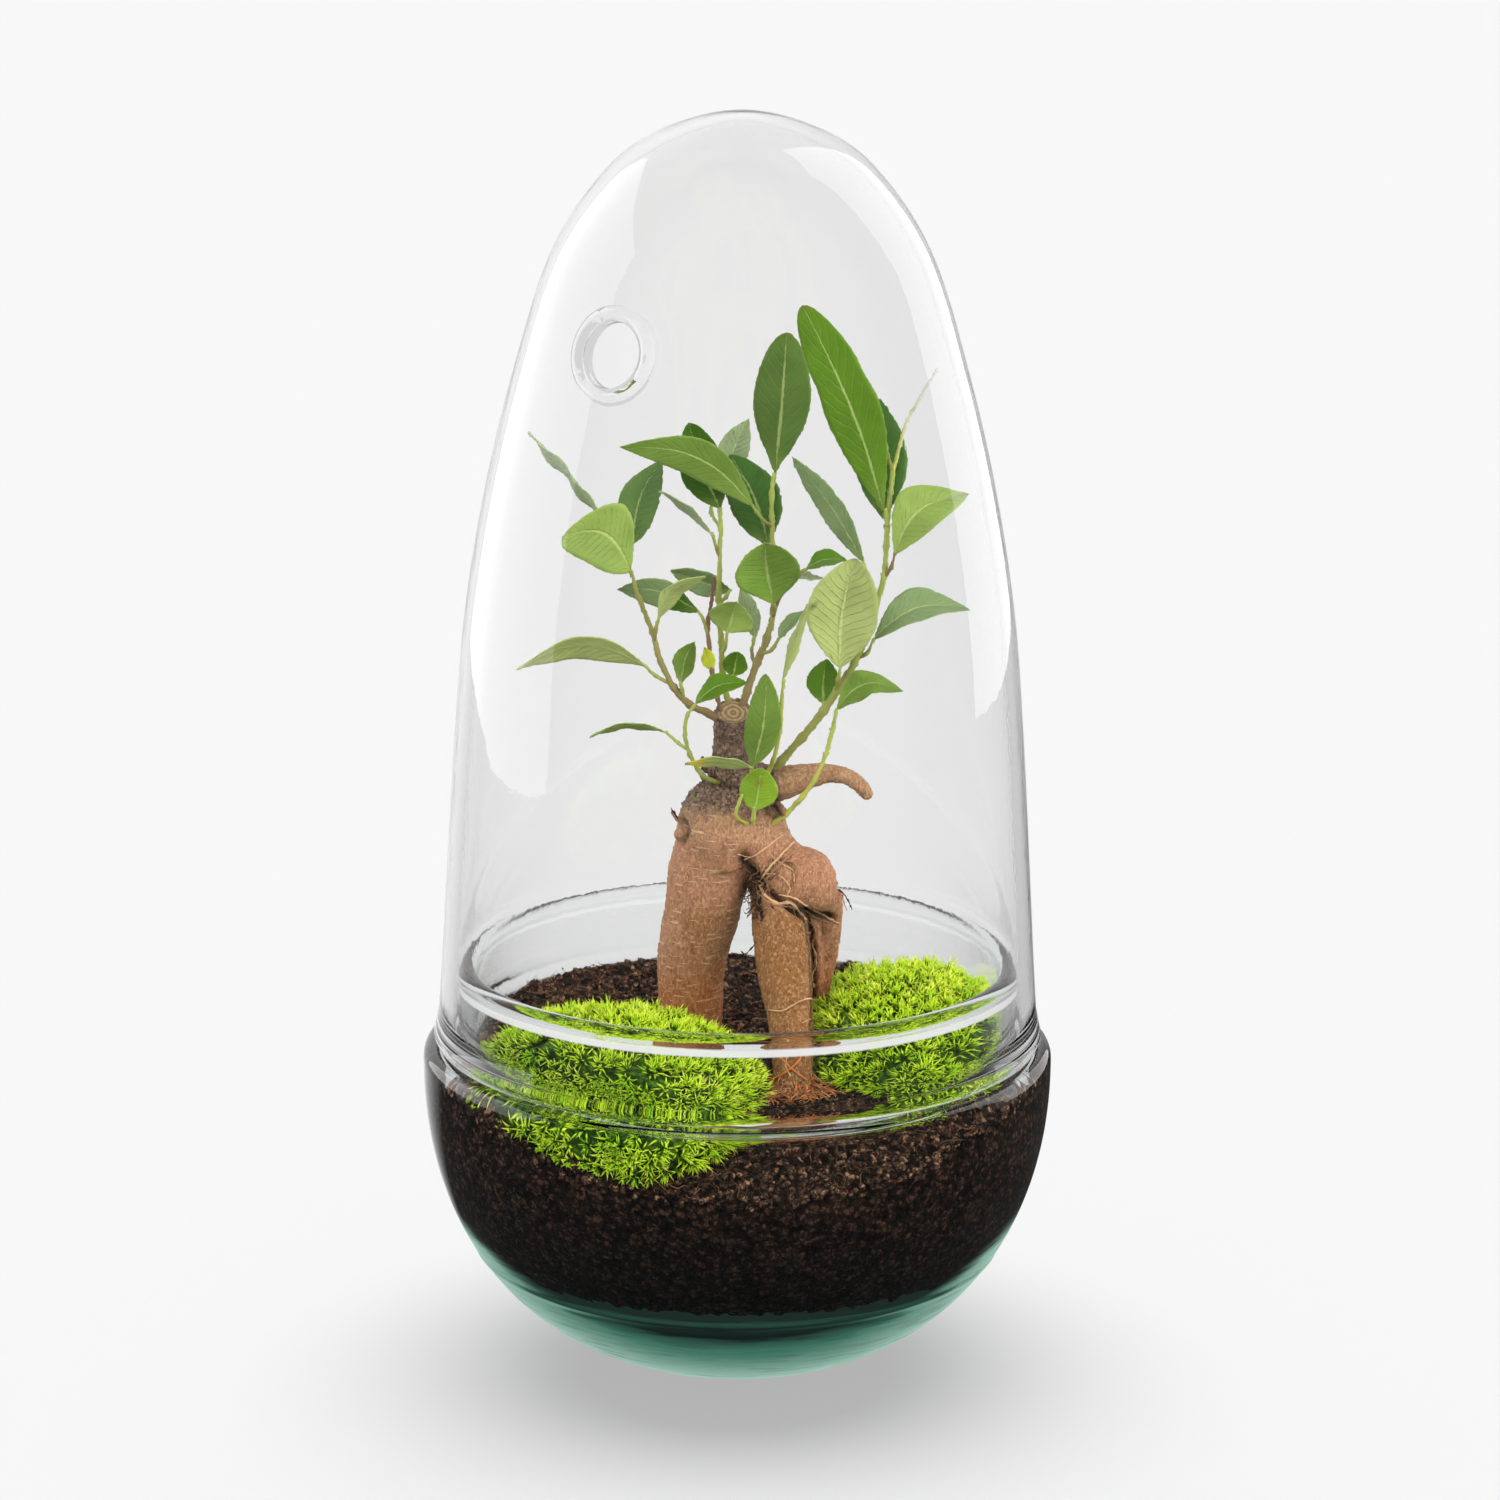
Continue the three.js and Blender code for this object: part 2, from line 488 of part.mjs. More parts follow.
function twig({ path, radii }, grow = 0) {
  return limb(path, radii, TWIG_SIDES, path.length - 1, grow);
}

function leafyStem({ twigs, leaves }) {
  return largest(join([...twigs.map((each) => twig(each)), ...leaves.map(blade)]));
}

// The holes that the stems stand in.
function stemHoles() {
  const all = Object.values(STEMS).flatMap(({ twigs }) => twigs);
  return join(all.map((each) => twig(each, GAP)));
}

// ---- moss -----------------------------------------------------------------------------
// A cushion is a low bumpy core with star-shaped shoots standing out all over it.
const CUSHIONS = {
  moss_left: { x: -28, y: -34, level: 72, across: 33, deep: 35, high: 18.5, shoots: 58 },
  moss_right: { x: 41.5, y: -2, level: 74, across: 25.5, deep: 36, high: 17, shoots: 48 },
};
const SHOOT_RADIUS = 4.6;
const SHOOT_HEIGHT = 3.8;

function shoot(draw) {
  const points = 5;
  const geometry = new THREE.ConeGeometry(SHOOT_RADIUS, SHOOT_HEIGHT, points * 2, 1);
  geometry.rotateX(Math.PI / 2);
  const position = geometry.getAttribute('position');
  const size = 0.8 + 0.4 * draw();
  const valley = 0.38;
  for (let i = 0; i < position.count; i += 1) {
    const angle = Math.atan2(position.getY(i), position.getX(i));
    const corner = Math.round((angle / Math.PI) * points - 0.5);
    const reach = size * (Math.abs(corner) % 2 === 1 ? 1 : valley);
    position.setXYZ(i, position.getX(i) * reach, position.getY(i) * reach, position.getZ(i) * size);
  }
  return geometry.rotateZ(draw() * Math.PI);
}

function cushion({ x, y, level, across, deep, high, shoots }, draw) {
  const core = new THREE.SphereGeometry(1, 16, 10);
  core.rotateX(Math.PI / 2);
  const position = core.getAttribute('position');
  for (let i = 0; i < position.count; i += 1) {
    const [px, py, pz] = [position.getX(i), position.getY(i), position.getZ(i)];
    const bump = 1 + 0.035 * Math.sin(7 * px + 2) * Math.sin(6 * py + 1);
    position.setXYZ(i, x + across * px * bump, y + deep * py * bump, level + high * pz * bump);
  }
  let body = solid(core);
  const up = new THREE.Vector3(0, 0, 1);
  const golden = Math.PI * (3 - Math.sqrt(5));
  for (let k = 0; k < shoots; k += 1) {
    const height = 1 - (k + 0.5) / shoots;
    const ring = Math.sqrt(1 - height * height);
    const spot = new THREE.Vector3(ring * Math.cos(k * golden), ring * Math.sin(k * golden), height);
    const outward = new THREE.Vector3(spot.x / across, spot.y / deep, spot.z / high).normalize();
    const star = shoot(draw);
    star.applyQuaternion(new THREE.Quaternion().setFromUnitVectors(up, outward));
    star.translate(x + across * spot.x, y + deep * spot.y, level + high * spot.z);
    body = body.add(solid(star));
  }
  return body;
}

// ---- assembly -------------------------------------------------------------------------
const finishes = {
  glass: { color: 0xdfe9e6, roughness: 0.03, metalness: 0, transparent: true, opacity: 0.35 },
  soil: { color: 0x2b1d17, roughness: 1, metalness: 0 },
  bark: { color: 0x8a5a3c, roughness: 0.85, metalness: 0 },
  leaf: { color: 0x4f8a2a, roughness: 0.45, metalness: 0 },
  moss: { color: 0x6f9a1f, roughness: 0.95, metalness: 0 },
};
const terrarium = new THREE.Group();

function add(name, geometry, finish) {
  const mesh = new THREE.Mesh(geometry, new THREE.MeshStandardMaterial(finishes[finish]));
  mesh.name = name;
  terrarium.add(mesh);
}

const raisedSoil = soilBody(GAP);
const grownTrunk = trunkBody(GAP);
const withinBowl = insideOfBowl(GAP);

add('glass_bowl', glassBowl(), 'glass');
add('glass_dome', toGeometry(glassDome()), 'glass');
add('soil', toGeometry(largest(soilBody().intersect(withinBowl).subtract(grownTrunk))), 'soil');
const prunedTrunk = trunkBody().subtract(pruningCut());
add('ficus_trunk', toGeometry(largest(prunedTrunk.subtract(stemHoles()))), 'bark');
for (const [name, stem] of Object.entries(STEMS)) {
  add(name, toGeometry(leafyStem(stem)), 'leaf');
}
const draw = seeded(MOSS_SEED);
for (const [name, shape] of Object.entries(CUSHIONS)) {
  const whole = cushion(shape, draw).intersect(withinBowl).subtract(raisedSoil).subtract(grownTrunk);
  add(name, toGeometry(largest(whole)), 'moss');
}

export default terrarium;
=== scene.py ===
"""Looks of an egg-shaped glass terrarium with a ginseng ficus, soil and moss.

The tables are in millimetres, as a maker measures the piece. mesh_object() turns them into metres.
"""

import math
import random

import bmesh
import bpy
import numpy as np
from mathutils import Matrix, Vector, noise
from mathutils.bvhtree import BVHTree


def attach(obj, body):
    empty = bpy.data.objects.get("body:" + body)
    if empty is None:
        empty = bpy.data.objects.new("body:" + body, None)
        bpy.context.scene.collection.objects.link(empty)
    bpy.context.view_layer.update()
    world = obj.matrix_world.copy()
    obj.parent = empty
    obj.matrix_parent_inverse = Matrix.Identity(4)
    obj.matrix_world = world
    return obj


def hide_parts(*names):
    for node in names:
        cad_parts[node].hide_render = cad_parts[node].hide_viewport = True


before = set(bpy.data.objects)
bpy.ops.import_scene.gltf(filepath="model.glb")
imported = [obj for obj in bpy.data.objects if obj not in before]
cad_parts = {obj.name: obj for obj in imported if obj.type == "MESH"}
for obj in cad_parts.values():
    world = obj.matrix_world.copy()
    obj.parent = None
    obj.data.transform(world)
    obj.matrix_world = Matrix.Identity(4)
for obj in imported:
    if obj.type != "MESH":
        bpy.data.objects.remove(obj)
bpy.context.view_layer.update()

MM = 0.001
SEED = 7


# ---- camera, light and floor ----
CAMERA_TARGET = Vector((0.0026, 0, 0.1486))
CAMERA_DISTANCE = 1.2303
CAMERA_PITCH = math.radians(14.15)
CAMERA_ROLL = 0.006
CAMERA_LENS = 124.8
SENSOR = 36

FLOOR_RADIUS = 9
FLOOR_SIDES = 96
BACKDROP = 0.94
STUDIO_DARK = 0.04
SKY_LIGHT = 0.66
FLOOR_TONE = 0.09
FLOOR_GLOW = 0.43
FLOOR_SUN = {"strength": 16.5, "softness": 66, "from_behind": 18}

# turn in degrees from the front to the right, height of the middle, width and height in metres
SOFTBOXES = {
    "softbox_left": {"turn": -112, "middle": 0.52, "across": 1.15, "tall": 1.04, "radiance": 1.6},
    "softbox_right": {"turn": 131, "middle": 0.92, "across": 0.78, "tall": 1.8, "radiance": 1.5},
}
FILLS = {
    "front_fill": {"turn": -20, "middle": 1.0, "across": 0.7, "tall": 0.6, "radiance": 6.4},
    "right_fill": {"turn": 62, "middle": 0.6, "across": 0.7, "tall": 0.8, "radiance": 4.6},
}
SOFTBOX_DISTANCE = 0.9
# what the glass mirrors: where the lit wall stands, how sharp its edge is, how high it reaches
MIRRORED_BACKDROP = (-0.26, 0.966, 0)
WALL_EDGE = (0.72, 0.97)
WALL_TOP = (0.45, 0.8)
BEHIND_ENDS = (0.2, 0.92)


def make_camera():
    lens = bpy.data.cameras.new("camera")
    lens.lens = CAMERA_LENS
    lens.sensor_width = SENSOR
    holder = add_object("camera", lens)
    back = Vector((0, -math.cos(CAMERA_PITCH), math.sin(CAMERA_PITCH)))
    turn = Matrix.Rotation(math.pi / 2 - CAMERA_PITCH, 4, "X") @ Matrix.Rotation(CAMERA_ROLL, 4, "Z")
    holder.matrix_world = Matrix.Translation(CAMERA_TARGET + back * CAMERA_DISTANCE) @ turn
    bpy.context.scene.camera = holder


def make_softbox(name, turn, middle, across, tall, radiance, lit, in_glass=True):
    """A soft lamp for all but the floor. in_glass says whether the glass mirrors it."""
    light = bpy.data.lights.new(name, "AREA")
    light.shape = "RECTANGLE"
    light.size = across
    light.size_y = tall
    light.energy = radiance * across * tall * math.pi
    holder = add_object(name, light)
    angle = math.radians(turn)
    place_at = Vector((math.sin(angle), -math.cos(angle), 0)) * SOFTBOX_DISTANCE
    place_at.z = middle
    aim = Vector((0, 0, CAMERA_TARGET.z)) - place_at
    if in_glass:
        aim.z = 0.0
    turned_to = aim.to_track_quat("-Z", "Y").to_matrix().to_4x4()
    holder.matrix_world = Matrix.Translation(place_at) @ turned_to
    holder.visible_camera = False
    holder.visible_glossy = in_glass
    holder.visible_transmission = False
    holder.light_linking.receiver_collection = lit


def make_floor_sun(floor):
    """A broad soft light from above that only the floor takes, for the shade under the bowl."""
    sun = bpy.data.lights.new("floor_sun", "SUN")
    sun.energy = FLOOR_SUN["strength"]
    sun.angle = math.radians(FLOOR_SUN["softness"])
    holder = add_object("floor_sun", sun)
    holder.matrix_world = Matrix.Rotation(-math.radians(FLOOR_SUN["from_behind"]), 4, "X")
    only_floor = bpy.data.collections.new("only_floor")
    only_floor.objects.link(floor)
    holder.light_linking.receiver_collection = only_floor


def make_world():
    """The backdrop is even to the eye; what the glass mirrors is a dark room with one lit wall."""
    world = bpy.data.worlds.new("studio")
    bpy.context.scene.world = world
    world.use_nodes = True
    world.node_tree.nodes.clear()
    make = Maker(world.node_tree)
    path = make.node("ShaderNodeLightPath").outputs
    direction = make.node("ShaderNodeTexCoord").outputs["Generated"]
    below_top = make.window(make.axis(direction, "Z"), *WALL_TOP, 1.0, 0.0)
    wall = make.times(below_top, towards_backdrop(make, direction))
    lit = mirrored_light(make, wall, behind(make, direction))
    dark = make.window(lit, 0, 1, STUDIO_DARK, BACKDROP)
    seen_there = make.mix(mirrored(make), (BACKDROP,) * 3, dark)
    seen_there = make.mix(path["Is Diffuse Ray"], seen_there, (SKY_LIGHT,) * 3)
    light = make.node("ShaderNodeBackground", {"Color": seen_there, "Strength": 1.0})
    make.node("ShaderNodeOutputWorld", {"Surface": light})


def mirrored(make):
    """1 where a ray was mirrored on its way, 0 where it came straight or through the glass."""
    return make.math("MINIMUM", make.node("ShaderNodeLightPath").outputs["Glossy Depth"], 1.0)


def mirrored_light(make, outer, inner):
    """outer for a ray mirrored by the face of the glass, inner for one mirrored inside the glass."""
    within = make.math("MINIMUM", make.node("ShaderNodeLightPath").outputs["Transmission Depth"], 1.0)
    return make.window(within, 0, 1, outer, inner)


def behind(make, direction):
    """1 away from the viewer, 0 back towards the viewer."""
    level = make.vector("NORMALIZE", direction)
    return make.window(make.axis(level, "Y"), *BEHIND_ENDS)


def towards_backdrop(make, direction):
    """1 towards the lit wall behind the jar and to its left, 0 in all other directions."""
    level = make.vector("MULTIPLY", direction, (1, 1, 0))
    level = make.vector("NORMALIZE", level)
    return make.window(make.vector("DOT_PRODUCT", level, MIRRORED_BACKDROP), *WALL_EDGE)


def make_floor():
    ring = [(FLOOR_RADIUS * math.cos(a), FLOOR_RADIUS * math.sin(a), 0)
            for a in np.linspace(0, 2 * math.pi, FLOOR_SIDES, endpoint=False)]
    floor = mesh_object("floor", np.array(ring) / MM, [tuple(range(FLOOR_SIDES))], smooth=False)
    floor.data.materials.append(floor_material())
    return floor


# ---- small helpers ----
def add_object(name, data):
    """A new object in the scene, which stays at the origin unless it is placed."""
    holder = bpy.data.objects.new(name, data)
    bpy.context.scene.collection.objects.link(holder)
    return holder


def mesh_object(name, points, faces, smooth=True):
    """A mesh from millimetre points."""
    mesh = bpy.data.meshes.new(name)
    mesh.from_pydata((np.asarray(points, float) * MM).tolist(), [], faces)
    shade_faces(mesh, smooth)
    return add_object(name, mesh)


def read_points(mesh):
    flat = np.empty(len(mesh.vertices) * 3)
    mesh.vertices.foreach_get("co", flat)
    return flat.reshape(-1, 3) / MM


def read_normals(mesh):
    flat = np.empty(len(mesh.vertices) * 3)
    mesh.vertex_normals.foreach_get("vector", flat)
    return flat.reshape(-1, 3)


def write_points(mesh, points):
    mesh.vertices.foreach_set("co", (points * MM).ravel())
    mesh.update()


def shade_faces(mesh, smooth=True):
    mesh.polygons.foreach_set("use_smooth", [smooth] * len(mesh.polygons))


def write_cover(mesh, values):
    """How densely scattered shapes cover the mesh at each point, 0 to 1."""
    layer = mesh.attributes.new("cover", "FLOAT", "POINT")
    layer.data.foreach_set("value", values)


def write_colour(mesh, name, values):
    """A colour of four numbers for each point of the mesh."""
    layer = mesh.attributes.new(name, "FLOAT_COLOR", "POINT")
    layer.data.foreach_set("color", np.asarray(values, float).ravel())


def apply_modifiers(piece):
    graph = bpy.context.evaluated_depsgraph_get()
    finished = bpy.data.meshes.new_from_object(piece.evaluated_get(graph))
    piece.modifiers.clear()
    piece.data = finished


def discard(piece):
    bpy.data.objects.remove(piece)


def finish_piece(piece, slot, *nodes):
    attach(piece, "root")
    if nodes:
        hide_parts(*nodes)


def srgb(red, green, blue):
    """A colour as it is read on a screen, 0 to 255, turned into light values."""
    values = np.array([red, green, blue]) / 255
    return tuple(np.where(values < 0.04045, values / 12.92, ((values + 0.055) / 1.055) ** 2.4))


def soft_step(values, low, high):
    share = np.clip((values - low) / (high - low), 0, 1)
    return share * share * (3 - 2 * share)


def noise_at(points, scale, seed=0):
    """Smooth noise from -1 to 1 at each millimetre point, with features about scale across."""
    shift = Vector((seed * 17.3, seed * 5.1, seed * 9.7))
    return np.array([noise.noise(Vector(p) / scale + shift) for p in points])


def crumbs_at(points, scale, seed=0):
    """The distance to the nearest of many scattered centres, 0 at a centre and about 1 between."""
    shift = Vector((seed * 3.7, seed * 11.9, seed * 7.1))
    return np.array([noise.voronoi(Vector(p) / scale + shift)[0][0] for p in points])


class Parts:
    """Gathers closed shapes, their materials and point colours into one mesh."""

    def __init__(self):
        self.points = []
        self.faces = []
        self.slots = []
        self.colours = {}
        self.count = 0

    def add(self, shape, slot=0, **colours):
        points, faces = shape
        self.points.append(points)
        self.faces += [tuple(corner + self.count for corner in face) for face in faces]
        self.slots += [slot] * len(faces)
        for name, value in colours.items():
            filled = np.broadcast_to(np.asarray(value, float), (len(points), 4))
            self.colours.setdefault(name, []).append(filled)
        self.count += len(points)

    def build(self, name, materials):
        piece = mesh_object(name, np.vstack(self.points), self.faces)
        for colour, values in self.colours.items():
            write_colour(piece.data, colour, np.vstack(values))
        for material in materials:
            piece.data.materials.append(material)
        piece.data.polygons.foreach_set("material_index", self.slots)
        return piece


class Maker:
    """Adds nodes to a tree and joins them up."""

    def __init__(self, tree):
        self.tree = tree

    def node(self, kind, inputs=None, **settings):
        made = self.tree.nodes.new(kind)
        for name, value in settings.items():
            setattr(made, name, value)
        for name, value in (inputs or {}).items():
            self.put(made.inputs[name], value)
        return made

    def put(self, socket, value):
        if isinstance(value, bpy.types.Node):
            value = value.outputs[0]
        if isinstance(value, bpy.types.NodeSocket):
            self.tree.links.new(value, socket)
        elif socket.type == "RGBA" and len(value) == 3:
            socket.default_value = (*value, 1)
        else:
            socket.default_value = value

    def math(self, operation, first, second=0.0):
        made = self.node("ShaderNodeMath", {0: first, 1: second}, operation=operation)
        return made.outputs[0]

    def times(self, first, second):
        return self.math("MULTIPLY", first, second)

    def plus(self, first, second):
        return self.math("ADD", first, second)

    def minus(self, first, second):
        return self.math("SUBTRACT", first, second)

    def vector(self, operation, first, second=(0, 0, 0)):
        """Vector math: a number where it measures a length or an angle, else a vector."""
        made = self.node("ShaderNodeVectorMath", {0: first, 1: second}, operation=operation)
        measured = operation in ("LENGTH", "DISTANCE", "DOT_PRODUCT")
        return made.outputs["Value" if measured else "Vector"]

    def axis(self, vector, name):
        return self.node("ShaderNodeSeparateXYZ", {"Vector": vector}).outputs[name]

    def channels(self, colour):
        """The three numbers of a colour."""
        return self.node("ShaderNodeSeparateColor", {"Color": colour}).outputs

    def attribute(self, name, socket="Color"):
        return self.node("ShaderNodeAttribute", attribute_name=name).outputs[socket]

    def cells(self, vector, scale):
        return self.node("ShaderNodeTexVoronoi", {"Vector": vector, "Scale": scale}).outputs

    def mix(self, factor, first, second, blend="MIX"):
        inputs = {0: factor, 6: first, 7: second}
        return self.node("ShaderNodeMix", inputs, data_type="RGBA", blend_type=blend).outputs[2]

    def scaled(self, colour, factors):
        """The colour with each of its numbers made stronger or weaker."""
        return self.mix(1.0, colour, factors, "MULTIPLY")

    def ramp(self, value, stops):
        made = self.node("ShaderNodeValToRGB", {"Fac": value})
        elements = made.color_ramp.elements
        while len(elements) < len(stops):
            elements.new(0.5)
        for element, (position, colour) in zip(elements, stops):
            element.position = position
            element.color = (*colour, 1)
        return made.outputs["Color"]

    def window(self, value, low, high, start=0.0, end=1.0):
        """value from low to high becomes start to end, and stays there outside."""
        made = self.node("ShaderNodeMapRange", {"Value": value, "From Min": low, "From Max": high,
                                                "To Min": start, "To Max": end})
        return made.outputs[0]

    def noise(self, vector, scale, detail=3.0, roughness=0.55):
        made = self.node("ShaderNodeTexNoise", {"Vector": vector, "Scale": scale, "Detail": detail,
                                                "Roughness": roughness})
        return made.outputs["Fac"]

    def stretched(self, scale=(1, 1, 1)):
        """The place on the piece, in metres, with each axis stretched."""
        where = self.node("ShaderNodeTexCoord").outputs["Object"]
        return self.node("ShaderNodeMapping", {"Vector": where, "Scale": scale}).outputs[0]

    def glow(self, colour):
        return self.node("ShaderNodeEmission", {"Color": colour})

    def blend(self, share, first, second):
        """The first surface where share is 0, the second where it is 1."""
        return self.node("ShaderNodeMixShader", {0: share, 1: first, 2: second})


def new_material(name):
    material = bpy.data.materials.new(name)
    material.use_nodes = True
    material.node_tree.nodes.clear()
    return material, Maker(material.node_tree)


def principled(make, **inputs):
    names = {key.replace("_", " "): value for key, value in inputs.items()}
    return make.node("ShaderNodeBsdfPrincipled", names)


def output(make, surface, volume=None):
    ends = {"Surface": surface}
    if volume is not None:
        ends["Volume"] = volume
    make.node("ShaderNodeOutputMaterial", ends)


# ---- shared shader groups ----
def grain_group():
    """Broad patches, fine grain and a height for bumps, for anything that grew or crumbled."""
    group = bpy.data.node_groups.new("natural_grain", "ShaderNodeTree")
    sockets = group.interface
    sockets.new_socket("Vector", in_out="INPUT", socket_type="NodeSocketVector")
    for name, value in (("Broad Scale", 60.0), ("Fine Scale", 700.0)):
        sockets.new_socket(name, in_out="INPUT", socket_type="NodeSocketFloat").default_value = value
    for name in ("Broad", "Fine", "Height"):
        sockets.new_socket(name, in_out="OUTPUT", socket_type="NodeSocketFloat")
    make = Maker(group)
    given = make.node("NodeGroupInput").outputs
    broad = make.noise(given["Vector"], given["Broad Scale"], 4.0, 0.6)
    fine = make.noise(given["Vector"], given["Fine Scale"], 5.0, 0.65)
    make.node("NodeGroupOutput", {"Broad": make.window(broad, 0.3, 0.7),
                                  "Fine": make.window(fine, 0.3, 0.7),
                                  "Height": make.plus(make.times(broad, 0.5), make.times(fine, 0.5))})
    return group


def grain(make, vector, broad, fine):
    made = make.node("ShaderNodeGroup", node_tree=GRAIN)
    make.put(made.inputs["Vector"], vector)
    made.inputs["Broad Scale"].default_value = broad
    made.inputs["Fine Scale"].default_value = fine
    return made.outputs


def bump(make, height, strength, distance):
    made = make.node("ShaderNodeBump", {"Height": height, "Strength": strength, "Distance": distance})
    return made.outputs[0]


def natural_surface(make, colour, rough, height, strength, relief, **more):
    """Ends a material with its colour, its roughness and the relief that height gives."""
    normal = bump(make, height, strength, relief)
    output(make, principled(make, Base_Color=colour, Roughness=rough, Normal=normal, **more))


GRAIN = grain_group()


# ---- materials ----
# Heights and reaches on the piece are in metres here, as a material reads them.
GREEN_ENDS = (0.010, 0.034)
BASE_GREEN = srgb(140, 222, 194)
BASE_DENSITY = 10.0
# how high the painted glow round the base's outline and the painted shade inside the base reach
CRESCENT_TOP = (0.034, 0.043)
SHADE_TOP = (0.0235, 0.029)
# where the painted highlight band on the lip begins, is full, starts to fade and ends
PAINTED_LIP_HIGHLIGHT = (0.0934, 0.0938, 0.0952, 0.0957)
PAINTED_LIP_HIGHLIGHT_REACH = (0.0652, 0.0656)
PAINTED_LIP_HIGHLIGHT_SHARE = 0.9
# the pale and dark greys of the painted light and shade at the vent's edge
VENT_PAINTED_LIGHT = (0.68,) * 3
VENT_PAINTED_SHADE = (0.18,) * 3
# heights over which the soil turns darker towards the bottom
DARKER_LOW_ENDS = (0.026, 0.062)
MOSS_HUES = {
    "tip": [(0.1, srgb(186, 232, 20)), (0.5, srgb(232, 250, 44)), (0.85, srgb(248, 252, 110)),
            (0.97, srgb(240, 214, 120))],
    "middle": [(0.0, srgb(122, 192, 2)), (1.0, srgb(214, 240, 14))],
    "root": [(0.0, srgb(14, 48, 2)), (1.0, srgb(58, 96, 6))],
}


def floor_material():
    """Pale to the eye. Mirrored in the glass it is dark in front and lit behind."""
    material, make = new_material("pale_floor")
    where = make.stretched((1, 1, 0))
    speckle = grain(make, where, 3.0, 900.0)
    colour = make.mix(speckle["Fine"], (FLOOR_TONE - 0.001,) * 3, (FLOOR_TONE + 0.001,) * 3)
    paper = principled(make, Base_Color=colour, Roughness=0.9, Specular_IOR_Level=0.0,
                       Emission_Color=(1, 1, 1), Emission_Strength=FLOOR_GLOW)
    lit = mirrored_light(make, towards_backdrop(make, where), behind(make, where))
    under = make.window(lit, 0, 1, STUDIO_DARK, BACKDROP)
    glow = make.glow(make.mix(mirrored(make), (BACKDROP,) * 3, under))
    path = make.node("ShaderNodeLightPath").outputs
    plain = make.math("MAXIMUM", path["Is Camera Ray"], path["Is Diffuse Ray"])
    output(make, make.blend(plain, glow, paper))
    return material


def painted_lip_highlight(make, where, height):
    """A painted highlight: a thin even white band where the outside of the swollen lip would catch the
    light.
    """
    reach = make.vector("LENGTH", make.vector("MULTIPLY", where, (1, 1, 0)))
    rising, falling = make.window(height, *PAINTED_LIP_HIGHLIGHT[:2]), make.window(height, *PAINTED_LIP_HIGHLIGHT[2:], 1, 0)
    outside = make.window(reach, *PAINTED_LIP_HIGHLIGHT_REACH, 0.0, PAINTED_LIP_HIGHLIGHT_SHARE)
    return make.times(make.times(rising, falling), outside)


def painted_base_glow_and_shade(make, height):
    """Painted light and shade for the thick green base: a glow round its outline that stands in for light
    off the floor, and painted shade inside it.
    """
    facing = make.node("ShaderNodeLayerWeight", {"Blend": 0.5}).outputs["Facing"]
    streaks = make.noise(make.stretched((1, 1, 12)), 55.0)
    turned_away = make.plus(facing, make.times(streaks, 0.2))
    needed = make.window(height, 0.0, 0.05, 0.2, 0.98)
    outline = make.window(make.minus(turned_away, needed), 0.0, 0.16)
    outline = make.times(outline, make.window(height, *CRESCENT_TOP, 1.0, 0.0))
    pale = make.mix(make.window(turned_away, 0.68, 1.02), srgb(66, 118, 100), srgb(168, 204, 188))
    pale = make.mix(make.window(streaks, 0.5, 0.62, 0.0, 0.35), pale, srgb(34, 82, 68))
    light = make.glow(make.mix(outline, srgb(20, 27, 28), pale))
    cover = make.math("MAXIMUM", make.window(height, *SHADE_TOP, 1.0, 0.0), outline)
    return light, make.times(cover, 0.94)


def painted_vent_edge(make):
    """Painted grey light for the steep faces round the vent, with darker painted shade inside the glass,
    and how much of it shows.
    """
    facing = make.node("ShaderNodeLayerWeight", {"Blend": 0.5}).outputs["Facing"]
    within = make.node("ShaderNodeNewGeometry").outputs["Backfacing"]
    cover = make.window(within, 0, 1, make.window(facing, 0.45, 0.75), make.window(facing, 0.19, 0.25))
    edge = make.window(facing, 0.7, 0.92, 0.0, make.window(within, 0, 1, 1.0, 0.0))
    return make.glow(make.mix(edge, VENT_PAINTED_LIGHT, VENT_PAINTED_SHADE)), cover


def glass_material(name, absorbed=None, density=0.0, painted_vent_edges=False):
    """Clear blown glass. Lamps light what is inside it as through an open window. A tinted one also gets
    a painted highlight on its lip and painted glow and shade in its base; the vent's glass can get
    painted grey light and shade at its edge.
    """
    material, make = new_material(name)
    slow = grain(make, make.stretched((1, 1, 0.6)), 26.0, 70.0)
    normal = bump(make, slow["Height"], 0.04, 0.002)
    where = make.stretched()
    height = make.axis(where, "Z")
    tint = (1.0, 1.0, 1.0)
    if absorbed:
        tint = make.mix(make.window(height, *GREEN_ENDS), absorbed, tint)
    surface = principled(make, Base_Color=tint, Roughness=0.0, IOR=1.5, Transmission_Weight=1.0,
                         Normal=normal)
    if absorbed:
        # painted highlight: the band on the lip glows white
        surface = make.blend(painted_lip_highlight(make, where, height), surface, make.glow((BACKDROP,) * 3))
        # painted glow round the base's outline, painted shade inside the base
        light, cover = painted_base_glow_and_shade(make, height)
        surface = make.blend(cover, surface, light)
    if painted_vent_edges:
        # painted grey light and shade on the steep faces round the vent
        grey, cover = painted_vent_edge(make)
        surface = make.blend(cover, surface, grey)
    clear = make.node("ShaderNodeBsdfTransparent", {"Color": (0.97, 0.98, 0.975)})
    path = make.node("ShaderNodeLightPath").outputs
    passing = make.math("MAXIMUM", path["Is Shadow Ray"], path["Is Diffuse Ray"])
    surface = make.blend(passing, surface, clear)
    volume = None
    if absorbed:
        volume = make.node("ShaderNodeVolumeAbsorption", {"Color": absorbed, "Density": density})
    output(make, surface, volume)
    return material


